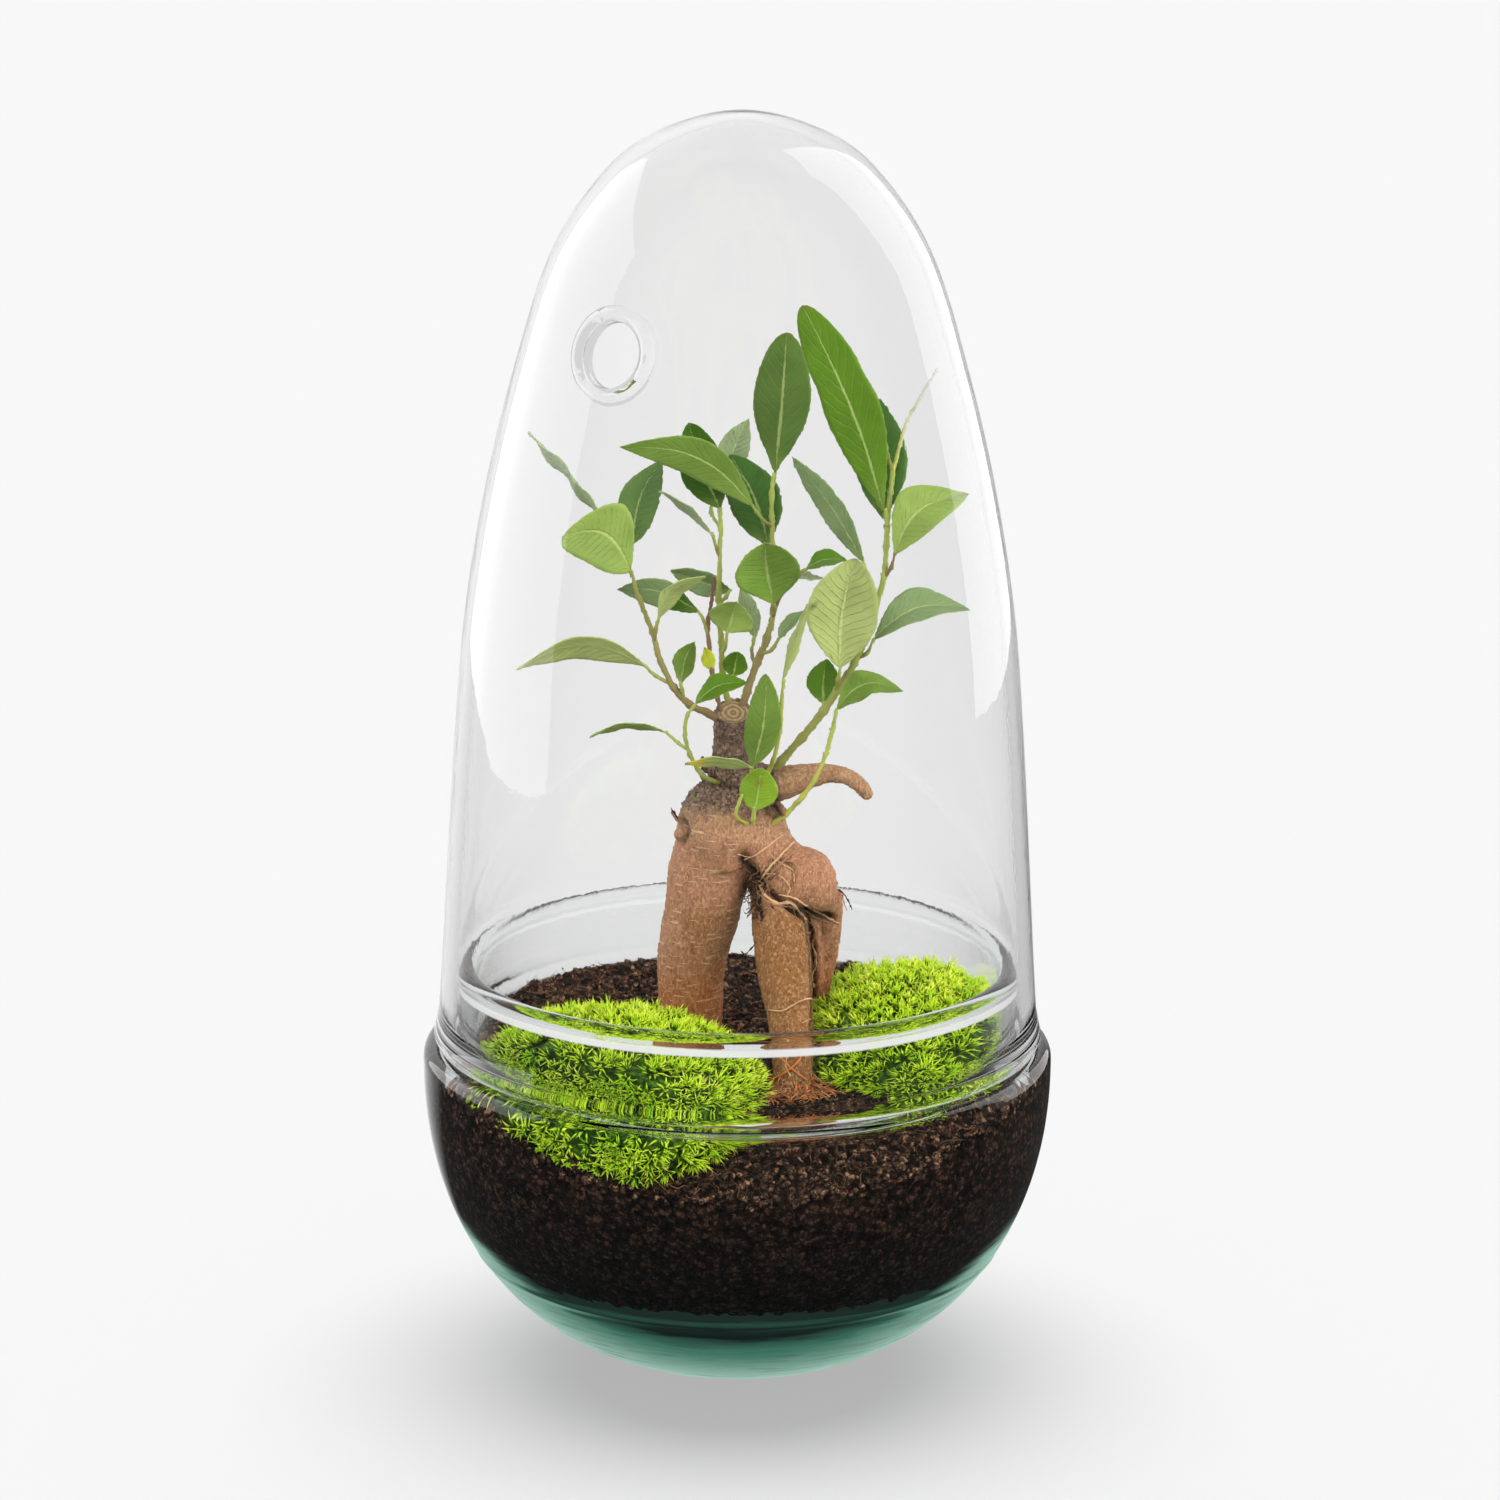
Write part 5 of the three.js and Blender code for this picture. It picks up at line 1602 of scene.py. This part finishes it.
# Places are across, height and depth as seen from the front.
# twigs: path, first and last radius, colours at the foot and at the tip
STEMS = {
    "leafy_stem_left": {
        "twigs": [
            ([(-3.4, 154.6, -1.5), (-7, 157.5, -1), (-11.6, 159.6, -2), (-15.5, 164, -3),
              (-18.5, 170, -3.5), (-20.5, 177, -4), (-23.5, 185, -4.5), (-25.5, 191.8, -5)],
             (1.3, 0.7), "wood", "olive"),
            ([(-16.6, 165, -3), (-19.5, 166.5, -4), (-22.4, 169.2, -5)], (0.6, 0.5), "olive", "green"),
            ([(-20, 175, -4), (-19.7, 178, -5.6), (-18.9, 181, -7)], (0.6, 0.5), "wood", "green"),
            ([(-12.8, 161, -2.3), (-13.6, 163.5, -3.4), (-13.9, 165.6, -4)],
             (0.6, 0.5), "olive", "green"),
            ([(-25.2, 190.5, -5), (-28.5, 198, -1), (-32.2, 204.4, 0)], (0.6, 0.5), "olive", "green"),
            ([(-24.6, 188.5, -4.7), (-26, 193, 0), (-25, 198.4, 5)], (0.6, 0.5), "olive", "green"),
        ],
        "leaves": [
            ficus_leaf((-25.5, 191.5, -5), (-41.4, 199.8, -9), 16, "lime", bow=-5.2, arch=-2, fold=0.3,
                wave=0.5, end=0.5),
            ficus_leaf((-22, 169, -5), (-52, 168, -13), 10, "pale", bow=-6.4, roll=58, end=0.95),
            ficus_leaf((-19, 180.4, -7), (-8, 190.6, -11), 6.5, "pale", bow=3.6, roll=-55, end=0.9),
            ficus_leaf((-13.9, 165, -4), (-10.6, 174.8, -6), 5.6, "mid", bow=0.8, arch=-0.6, roll=15,
                end=0.9),
            ficus_leaf((-32, 204, 0), (-50, 225, 2), 5, "mist", bow=-1.4, arch=0.6, roll=65, wave=0.8,
                end=1.0),
            ficus_leaf((-25, 198, 5), (-18.6, 218, 8), 9.6, "grey", bow=2.0, end=0.75),
        ],
    },
    "leafy_shoot_left": {
        "twigs": [
            ([(-4.5, 140.6, -3.5), (-8.5, 142.5, -6), (-11.5, 147.5, -7), (-12.8, 152.5, -8),
              (-12.2, 157, -8.6), (-10, 160.2, -9)], (0.8, 0.5), "olive", "green"),
            ([(-12, 148.6, -7.2), (-14.5, 150.4, -7), (-17.4, 153.2, -7)],
             (0.5, 0.45), "green", "green"),
        ],
        "leaves": [
            ficus_leaf((-10.3, 160, -9), (2, 165, -9.5), 6, "bright", bow=1.4, arch=0.8, roll=30,
                end=0.8),
            ficus_leaf((-17, 153, -7), (-35.2, 151.8, -8), 4.6, "soft", bow=-2.8, arch=0.4, roll=72,
                end=1.0),
        ],
    },
    "leafy_shoot_front": {
        "twigs": [
            ([(2.2, 139.5, -5), (2.8, 142, -8.5), (3.2, 145, -11)], (0.9, 0.6), "olive", "green"),
        ],
        "leaves": [
            ficus_leaf((3.2, 144.4, -11), (6.2, 167.2, -13), 8.4, "mid", bow=-1.1, wave=0.4, end=0.6),
            ficus_leaf((3.1, 144.6, -11), (-12.6, 145.4, -14), 5.2, "pale", bow=-1.8, arch=0.6, roll=60,
                spot="yellow"),
        ],
    },
    "leafy_shoot_low": {
        "twigs": [
            ([(3.4, 129.5, -9), (3.5, 132, -12.4), (3.7, 135, -14)], (0.8, 0.6), "yellow", "green"),
            ([(3.3, 130.4, -10), (-0.6, 132.6, -14), (0.8, 138, -15)], (0.6, 0.45), "yellow", "green"),
        ],
        "leaves": [
            ficus_leaf((3.5, 133.8, -13.6), (5.4, 144.4, -16), 9.2, "fresh", bow=-0.3, arch=-1,
                fold=0.3, spot="brown", widest=1.0, end=0.55),
        ],
    },
    "leafy_stem_right": {
        "twigs": [
            ([(6.6, 141, -2), (10, 146, -3), (15, 152, -4), (20, 158.5, -5), (23.2, 163.5, -5.5),
              (27, 170, -6), (30, 177, -6), (32, 184, -5.5), (33.8, 191, -5), (34.2, 198, -4),
              (34.4, 205, -3), (35, 211, -3), (35.6, 217, -3)], (1.4, 0.7), "olive", "green"),
            ([(34.4, 203, -3.2), (33.8, 207, -4.6)], (0.8, 0.6), "green", "green"),
            ([(35.5, 216, -3), (33.8, 222, -4), (32.5, 228, -4)], (0.6, 0.4), "olive", "green"),
            ([(35.5, 216, -3), (37, 222, -3), (38.2, 226.6, -2), (42, 234, 0), (46, 240.5, 1)],
             (0.6, 0.4), "yellow", "thread"),
            ([(22.7, 162.6, -5.4), (23.3, 166, -8), (23.7, 169, -9.6)], (0.7, 0.6), "olive", "green"),
            ([(19.4, 157.6, -5), (20, 160.4, -2)], (0.7, 0.6), "green", "green"),
            ([(27.5, 171, -6), (29.8, 172.3, -6.5), (31.6, 176, -7)], (0.6, 0.5), "wood", "green"),
            ([(33.6, 190, -5), (35.4, 193, -6), (36.2, 196.4, -7)], (0.6, 0.5), "wood", "wood"),
            ([(31, 180.5, -5.8), (30.8, 187, -2), (28.8, 194.4, 2)], (0.6, 0.5), "wood", "green"),
        ],
        "leaves": [
            ficus_leaf((23.6, 168.5, -9.5), (26.8, 195, -15), 16.8, "pale", bow=1.2, arch=-1.4,
                fold=0.2, specks=True, widest=1.0, end=0.6),
            ficus_leaf((20, 159.8, -2), (20.6, 170.8, 2), 7.8, "deep", bow=0.6, arch=-0.6, end=0.7),
            ficus_leaf((31.4, 175.6, -7), (54, 183, -3), 10, "silver", bow=3.4, roll=38, fold=0.35,
                end=0.95),
            ficus_leaf((36, 196, -7), (53.4, 210.4, -4), 12, "lime", bow=4, arch=1.2, roll=20, end=0.95,
                hook=True),
            ficus_leaf((33.6, 205.6, -4.5), (14, 254.6, -13), 13, "bright", bow=-1.8, arch=2, fold=0.2,
                widest=1.15, waist=0.1, end=0.48),
            ficus_leaf((33.4, 204.6, -2), (31, 233.6, 7), 12.4, "pine", bow=-0.4, end=0.6),
            ficus_leaf((29, 194, 2), (12, 219.2, 6), 6.4, "silver", bow=-1.5, arch=0.8, roll=25,
                end=0.8),
        ],
    },
    "leafy_shoot_right": {
        "twigs": [
            ([(7.5, 130.5, -7), (11, 133, -9), (15, 137.5, -10), (18, 142, -11), (20.5, 148, -11.5),
              (22, 154, -12), (22.9, 159, -12)], (0.9, 0.6), "yellow", "green"),
        ],
        "leaves": [
            ficus_leaf((22.9, 158.6, -12), (37.4, 164.6, -13), 7, "mid", bow=2.9, arch=0.8, roll=22,
                wave=0.9, droop=2.4, end=0.7),
        ],
    },
    "leafy_stem_middle": {
        "twigs": [
            ([(0, 157.5, 2), (1.8, 163, 3), (4.2, 170, 4), (6.5, 176, 4.5), (8, 183, 5), (8, 190, 5.5),
              (7.6, 198, 6), (7.4, 205, 6), (7.3, 210.5, 6), (8, 215.4, 6)],
             (1.3, 0.7), "wood", "green"),
            ([(7.5, 202.6, 6), (5, 204.5, 3), (2.6, 207.8, 0)], (0.6, 0.5), "wood", "green"),
            ([(8, 181, 4.8), (8.2, 183, 2), (7.9, 184.2, 1)], (0.6, 0.5), "wood", "green"),
            ([(8, 183.5, 5), (10.5, 187.5, 4), (13, 191, 3), (15.9, 192.7, 3)],
             (0.9, 0.5), "wood", "olive"),
            ([(3.8, 169, 4), (2.9, 172.5, 6), (3.6, 176.4, 8)], (0.6, 0.5), "wood", "green"),
            ([(5, 172, 4.2), (7.5, 173, 2), (9.2, 175.8, 1)], (0.6, 0.5), "olive", "green"),
        ],
        "leaves": [
            ficus_leaf((8, 214.8, 6), (10.6, 248.4, 3), 13.4, "broad", bow=-0.2, widest=1.22, end=0.5),
            ficus_leaf((3, 207.4, 0), (-28, 221.2, -8), 9.4, "mid", bow=-5.4, arch=1.4, roll=15,
                end=0.9),
            ficus_leaf((6.6, 198, 7), (-2.6, 219.6, 12), 12.4, "pine", bow=-1.4, end=0.6),
            ficus_leaf((7.9, 183.6, 1), (5.8, 198.6, -4), 15.4, "young", bow=0.4, arch=-1.6, fold=0.6,
                widest=1.32, end=0.36),
            ficus_leaf((15.5, 192.5, 3), (25.2, 194.6, 4), 6.6, "deep", bow=0.7, arch=0.6, roll=50,
                end=0.8),
            ficus_leaf((13, 190.4, 3.4), (19.2, 190.2, 7), 3.2, "mist", arch=0.3, roll=50, end=1.0),
            ficus_leaf((3.8, 175.6, 8), (0.2, 188.2, 9), 5, "mist", bow=-0.6, arch=0.4, roll=20,
                end=0.9),
            ficus_leaf((9, 175.3, 1), (15.4, 182.5, 0), 4, "silver", bow=0.4, arch=0.4, roll=45,
                end=0.9),
        ],
    },
    "leafy_shoot_middle": {
        "twigs": [
            ([(5.2, 140.5, -5.5), (8, 146, -7.6), (9.6, 153, -8), (10, 160, -8), (10.4, 166, -8)],
             (0.8, 0.55), "yellow", "green"),
        ],
        "leaves": [
            ficus_leaf((10.2, 165.4, -8), (16, 184.2, -7), 4.4, "pale", bow=-0.8, arch=0.6, roll=55,
                end=1.0),
        ],
    },
    "leafy_stem_back": {
        "twigs": [
            ([(-2, 157.5, 3.2), (-3.8, 166, 3), (-4.3, 175, 3), (-5, 185, 3), (-4.8, 195, 3),
              (-4.6, 202, 3), (-4.8, 207.2, 3)], (1.1, 0.7), "olive", "green"),
            ([(-4.6, 202, 3), (-7, 206, 9), (-6, 210, 15), (-3.4, 213.6, 17)],
             (0.6, 0.5), "green", "green"),
            ([(-4.9, 194.5, 3), (-5.8, 198, 2), (-6.7, 201, 1)], (0.6, 0.5), "wood", "green"),
            ([(-4.9, 184, 3), (-3.4, 185.6, 4), (-2.2, 187.4, 5)], (0.6, 0.5), "olive", "green"),
            ([(-4.2, 172, 3), (-3.2, 174, 1), (-2.9, 177.6, -1)], (0.6, 0.5), "green", "green"),
            ([(-3.6, 164, 3), (-2.4, 165, 1.6), (-1.4, 166.9, 1)], (0.6, 0.5), "green", "green"),
        ],
        "leaves": [
            ficus_leaf((-4.8, 206.6, 3), (-12, 227, 4), 11, "dark", bow=0.6, arch=0.8, end=0.6),
            ficus_leaf((-3.6, 213, 17), (1.9, 228.2, 19), 7.4, "mist", bow=0.8, arch=0.8, end=0.95),
            ficus_leaf((-6.6, 200.6, 1), (-19, 211, -1), 4, "mist", bow=-1.6, arch=0.5, roll=65,
                end=1.0),
            ficus_leaf((-2, 187.2, 5), (-16.4, 192, 8), 7, "silver", bow=0.4, arch=-0.5, roll=35,
                end=0.9),
            ficus_leaf((-3, 177, -1), (-0.8, 184.4, -4), 11, "lime", arch=-0.8, fold=0.45, widest=1.1,
                end=0.42),
            ficus_leaf((-1.5, 166.4, 1), (-0.5, 172.6, 0), 6, "deep", arch=-0.4, end=0.5),
        ],
    },
    "leafy_shoot_back": {
        "twigs": [
            ([(-4.2, 157.6, 0.8), (-5.5, 163, 0), (-6.5, 168, -0.2), (-7.3, 175, 0), (-7.5, 179.5, 0),
              (-6.8, 184, -0.2), (-5.9, 190.4, -0.4)], (0.9, 0.5), "wood", "red"),
            ([(-7.4, 176.5, 0), (-8.6, 180, -0.4), (-9.8, 182.4, -0.2)], (0.6, 0.5), "green", "green"),
        ],
        "leaves": [
            ficus_leaf((-9.5, 182, -0.3), (-29, 187.4, 3), 7.4, "silver", bow=-2.6, arch=0.8, roll=28,
                spot="shade", end=0.9),
            ficus_leaf((-6.6, 168, -0.6), (-8.2, 173.4, -1.6), 3.2, "yellow", arch=-0.3),
        ],
    },
}


def half_width(leaf, t):
    """Half the width of a blade, from its foot at t 0 to its tip at t 1."""
    swell = np.abs(np.sin(math.pi * t ** leaf["widest"]))
    half = 0.5 * leaf["width"] * swell ** (0.95 + (leaf["end"] - 0.95) * t)
    half *= 1 - leaf["waist"] * np.exp(-((t - 0.64) / 0.07) ** 2)
    return np.maximum(half, LEAF_EDGE)


def blade_surface(leaf, number):
    """The middle of an arched blade, its facing, and how far along and across each point lies."""
    start = place(leaf["base"])
    run = place(leaf["tip"]) - start
    ahead = unit(run)
    face0 = unit(TO_VIEWER - ahead * TO_VIEWER.dot(ahead))
    side0 = np.cross(face0, ahead)
    turn = math.radians(leaf["roll"])
    face = face0 * math.cos(turn) + side0 * math.sin(turn)
    side = side0 * math.cos(turn) - face0 * math.sin(turn)
    rows = 0.5 - 0.5 * np.cos(np.linspace(0, math.pi, LEAF_ROWS))
    columns = np.linspace(-1, 1, LEAF_COLUMNS + 1)
    t, s = (grid.ravel() for grid in np.meshgrid(rows, columns, indexing="ij"))
    arc = np.sin(math.pi * t)
    half = half_width(leaf, t)
    wave = leaf["wave"] * np.sin(2 * math.pi * (2.3 * t + 0.37 * number) + s) * s * s * arc
    lift = leaf["arch"] * arc + leaf["fold"] * half * (np.sqrt(s * s + 0.012) - 0.11) + wave
    lift -= leaf["droop"] * np.maximum(t - 0.72, 0) * 6 * t
    if leaf["hook"]:
        lift += 9 * np.maximum(t - 0.9, 0)
    middle = start + np.outer(t, run) + np.outer(leaf["bow"] * arc, side0)
    middle += np.outer(lift, face) + np.outer(s * half, side)
    return middle, face, t, s, half


def blade_faces():
    """The faces of both sides of a blade and of its rim."""
    wide = LEAF_COLUMNS + 1
    count = LEAF_ROWS * wide
    faces = []
    for r in range(LEAF_ROWS - 1):
        for c in range(LEAF_COLUMNS):
            a, b = r * wide + c, (r + 1) * wide + c
            faces.append((a, a + 1, b + 1, b))
            faces.append((a + count, b + count, b + 1 + count, a + 1 + count))
    rim = list(range(LEAF_COLUMNS)) + [r * wide + LEAF_COLUMNS for r in range(LEAF_ROWS - 1)]
    rim += [(LEAF_ROWS - 1) * wide + c for c in range(LEAF_COLUMNS, 0, -1)]
    rim += [r * wide for r in range(LEAF_ROWS - 1, 0, -1)]
    for a, b in zip(rim, rim[1:] + rim[:1]):
        faces.append((a, a + count, b + count, b))
    return faces


def leaf_shape(leaf, number):
    """A thin arched blade with a sunken midrib, and its colours at each point."""
    middle, face, t, s, half = blade_surface(leaf, number)
    rib = np.exp(-((s * half) / (0.42 * (1.1 - t))) ** 2)
    thick = LEAF_THICKNESS * (1 - 0.6 * s * s) * 0.5
    shown_under = leaf["tone"] in UNDERSIDE_TONES
    bulge_front, bulge_back = (0.24, -0.1) if shown_under else (-0.1, 0.24)
    front = middle + np.outer(thick + bulge_front * rib, face)
    back = middle - np.outer(thick + bulge_back * rib, face)
    points = np.vstack([front, back])
    return (points, outward(points, blade_faces())), leaf_colours(leaf, s, t, middle, shown_under)


def leaf_colours(leaf, s, t, middle, shown_under):
    """The colour of both sides of a blade, its marks with one half painted lighter and the other painted
    darker, and where on the blade each point lies.
    """
    tone = np.array([LEAF_TONES[leaf["tone"]]] * len(t)) * LEAF_GAIN

    def stain(share, colour):
        tone[:] += np.clip(share, 0, 1)[:, None] * (np.array(colour) - tone)

    if leaf["spot"] == "yellow":
        stain(soft_step(t, 0.62, 0.85), srgb(240, 222, 70))
        stain(soft_step(t, 0.93, 1.0), srgb(130, 104, 74))
    if leaf["spot"] == "brown":
        stain(0.8 * np.exp(-((s - 0.05) ** 2 + ((t - 0.62) * 1.6) ** 2) / 0.014), srgb(140, 76, 34))
    if leaf["spot"] == "shade":
        stain(1 - soft_step(t, 0.3, 0.42), LEAF_TONES["dark"])
    if leaf["specks"]:
        dots = soft_step(crumbs_at(middle, 1.9, 15), 0.2, 0.14)
        stain(0.8 * (dots * soft_step(noise_at(middle, 4, 3), 0.05, 0.2)), srgb(74, 86, 40))
    stain((0.9 if leaf["hook"] else 0.45) * soft_step(t, 0.97, 1.0), srgb(120, 104, 62))
    stain(0.22 * soft_step(t, 0.25, 0.0), srgb(190, 204, 110))
    # painted light and shade: one half of the blade lighter and the other darker, as the fold along the
    # midrib would light them
    painted_lit_half = 1 if leaf["bow"] > 0 else -1
    tone *= (1 + 0.09 * painted_lit_half * np.sign(s) + 0.12 * noise_at(middle, 5, 40))[:, None]
    other = 0.4 * tone + 0.6 * LEAF_GAIN * np.array(LEAF_TONES["mid"] if shown_under else PALE_SIDE)
    under = np.full(len(t), 1.0 if shown_under else 0.0)
    ones = np.ones(2 * len(t))
    places = [np.tile((s + 1) / 2, 2), np.tile(t, 2), np.concatenate([under, 1 - under]), ones]
    return {"tone": np.column_stack([np.vstack([tone, other]), ones]), "blade": np.column_stack(places)}


def make_leafy_stem(node, leaf_finish, twig_finish):
    parts = Parts()
    blank = (0, 0, 0, 1)
    for path, radii, foot, end in STEMS[node]["twigs"]:
        count = 7 * (len(path) - 1) + 1
        controls = [place(p) for p in path]
        line = smooth_path(controls, count)
        nodes = np.min([np.linalg.norm(line - p, axis=1) for p in controls[1:-1] or controls], axis=0)
        thick = np.linspace(*radii, count) * TWIG_SLIMNESS * (1 + 0.3 * np.exp(-(nodes / 0.7) ** 2))
        thick *= 1 + 0.12 * noise_at(line, 2.2, 20)
        shape = tube(line, thick, TWIG_SIDES)
        share = np.append(np.repeat(np.linspace(0, 1, count), TWIG_SIDES), [0, 1])[:, None]
        tone = np.array(TWIGS[foot]) * (1 - share) + np.array(TWIGS[end]) * share
        brown = soft_step(noise_at(shape[0], 3.0, 21), 0.1, 0.5)[:, None] * (1 - 0.6 * share)
        tone += 0.55 * brown * (np.array(TWIGS["wood"]) - tone)
        parts.add(shape, 1, tone=np.column_stack([tone, np.ones(len(tone))]), blade=blank)
    for number, leaf in enumerate(STEMS[node]["leaves"]):
        shape, colours = leaf_shape(leaf, number)
        parts.add(shape, 0, **colours)
    finish_piece(parts.build(node + "_grown", [leaf_finish, twig_finish]), "leaf_green", node)


# ---- moss ----
CUSHIONS = {
    "moss_left": {"x": -28, "y": -34, "level": 72, "across": 33, "deep": 35, "high": 18.5},
    "moss_right": {"x": 41.5, "y": -2, "level": 74, "across": 26.5, "deep": 38, "high": 17},
}
CUSHION_RINGS = 43
CUSHION_SIDES = 96
CUSHION_TILT = math.pi * 0.62
MOSS_CLEARANCE = 0.25
MOSS_INSET = 2.6
MOSS_DENSITY = 165000.0
GROUND_SHADE = 0.16
SHOOT_LEAVES = 12
OUTER_LEAVES = 7
SHOOT_HEIGHT = 4.5


def moss_leaf(k, draw):
    """One slim leaf of a star, an outer one that leans or an inner one that stands."""
    outer = k < OUTER_LEAVES
    inner_turn = (k - OUTER_LEAVES + 0.5) / (SHOOT_LEAVES - OUTER_LEAVES)
    angle = 2 * math.pi * (k / OUTER_LEAVES if outer else inner_turn) + draw.uniform(-0.25, 0.25)
    lean = draw.uniform(0.6, 1.0) if outer else draw.uniform(0.1, 0.4)
    length = SHOOT_HEIGHT * (draw.uniform(0.8, 1.05) if outer else draw.uniform(0.7, 1.0))
    away = np.array([math.cos(angle), math.sin(angle), 0])
    side = np.array([-math.sin(angle), math.cos(angle), 0])
    root = np.array([0, 0, (0.9 if outer else 1.7) - 1.2])
    tip = root + away * length * math.sin(lean) + np.array([0, 0, length * math.cos(lean)])
    bend = root + (tip - root) * 0.45 + np.array([0, 0, 0.35])
    points = np.array([root, bend + side * 0.26, bend - side * 0.26,
                       bend - unit(np.cross(side, tip - root)) * 0.2, tip])
    faces = [(0, 2, 1), (0, 1, 3), (0, 3, 2), (4, 1, 2), (4, 3, 1), (4, 2, 3)]
    return points, outward(points, faces)


def moss_shoots(count, draw):
    """Small upright stars of slim leaves, whose colour says how far up each point lies."""
    up = np.array([[0, 0, 0, 1], *[[0.55, 0, 0, 1]] * 3, [1, 0, 0, 1]])
    shapes = []
    for number in range(count):
        parts = Parts()
        for k in range(SHOOT_LEAVES):
            parts.add(moss_leaf(k, draw), shoot=up)
        shapes.append(parts.build(f"moss_shoot_{number}", []))
    return shapes


def cushion_ground(x, y, level, across, deep, high):
    """The bumpy mound that the moss grows on, pressed against the glass where it meets it."""
    points = [(x, y, level + high)]
    for tilt in np.linspace(0, CUSHION_TILT, CUSHION_RINGS + 1)[1:]:
        for turn in np.linspace(0, 2 * math.pi, CUSHION_SIDES, endpoint=False):
            px, py, pz = math.sin(tilt) * math.cos(turn), math.sin(tilt) * math.sin(turn), math.cos(tilt)
            swell = 1 + 0.035 * math.sin(7 * px + 2) * math.sin(6 * py + 1)
            points.append((x + across * px * swell, y + deep * py * swell, level + high * pz * swell))
    points.append((x, y, level - 0.4 * high))
    points = np.array(points)
    lumps = 0.9 * noise_at(points[:-1], 6, 31) + 0.6 * noise_at(points[:-1], 3, 32)
    points[:-1] += np.outer(lumps, (0, 0, 1))
    return press_inside(points, MOSS_CLEARANCE + MOSS_INSET)


def make_cushion(node, draw, material):
    points = cushion_ground(**CUSHIONS[node])
    ground = mesh_object(node + "_ground", points, capped_rings(CUSHION_RINGS, CUSHION_SIDES))
    above = points[:, 2] - soil_height(points[:, 0], points[:, 1])
    write_cover(ground.data, soft_step(above, -1.5, 0.5))
    write_colour(ground.data, "shoot", np.tile([GROUND_SHADE, 0, 0, 1], (len(points), 1)))
    shoots = scatter(node + "_shoots", ground, moss_shoots(4, draw), material, Density=MOSS_DENSITY,
                     Smallest=0.7, Largest=1.25, Lean=0.42, Seed=SEED + len(node))
    ground.data.materials.append(material)
    moss = join_pieces(node + "_grown", [ground, shoots])
    keep_inside(moss, MOSS_CLEARANCE)
    finish_piece(moss, "moss_green", node)


# ---- assembly ----
def make_ground(draw):
    soil_finish = soil_material("potting_soil", srgb(18, 11, 8), srgb(54, 36, 28))
    crumb_finish = soil_material("soil_crumb", srgb(48, 34, 27), srgb(116, 88, 70))
    soil = make_soil(soil_finish)
    crumbs = scatter("soil_crumbs", soil, crumb_shapes(4), crumb_finish, Density=CRUMB_DENSITY,
                     Smallest=0.35, Largest=1.25, Lean=3.0, Seed=SEED)
    keep_inside(crumbs, SOIL_CLEARANCE - SOIL_BITE)
    fibre_finish = tinted_material("soil_fibre", 0.4, 0.85, 120.0, 900.0, 0.0003)
    strands = scatter("soil_fibres", soil, strand_shapes(5, 7.0, 0.16, draw), fibre_finish,
                      Density=FIBRE_DENSITY, Smallest=0.5, Largest=1.3, Lean=0.35, Seed=SEED + 3)
    keep_inside(strands, SOIL_CLEARANCE)
    count = len(strands.data.vertices)
    tints = np.empty(count)
    strands.data.attributes["tint"].data.foreach_get("value", tints)
    tone = np.outer(1 - tints, FIBRE_DARK) + np.outer(tints, FIBRE_PALE)
    write_colour(strands.data, "tone", np.column_stack([tone, np.ones(count)]))
    finish_piece(soil, "potting_soil", "soil")
    finish_piece(crumbs, "potting_soil")
    finish_piece(strands, "potting_soil")


def light_studio():
    """The floor has a sun of its own; the lamps light everything else."""
    make_world()
    floor = make_floor()
    make_floor_sun(floor)
    all_but_floor = bpy.data.collections.new("lit")
    all_but_floor.objects.link(floor)
    all_but_floor.collection_objects[0].light_linking.link_state = "EXCLUDE"
    for name, spec in SOFTBOXES.items():
        make_softbox(name, lit=all_but_floor, **spec)
    for name, spec in FILLS.items():
        make_softbox(name, lit=all_but_floor, in_glass=False, **spec)


def build():
    make_camera()
    light_studio()
    draw = random.Random(SEED)
    make_bowl(glass_material("clear_glass_green_base", absorbed=BASE_GREEN, density=BASE_DENSITY))
    make_dome(glass_material("clear_glass"), glass_material("vent_glass", painted_vent_edges=True))
    make_ground(draw)
    trunk = make_trunk(bark_material())
    make_rootlets(trunk, tinted_material("fine_root", 0.3, 0.8, 200.0, 1600.0, 0.0002))
    leaf_finish = leaf_material()
    twig_finish = tinted_material("ficus_twig", 0.22, 0.6, 260.0, 1500.0, 0.0003, (1, 1, 0.4))
    for node in STEMS:
        make_leafy_stem(node, leaf_finish, twig_finish)
    moss_finish = moss_material()
    for node in CUSHIONS:
        make_cushion(node, draw, moss_finish)
    bpy.context.scene.view_settings.view_transform = "Standard"


build()
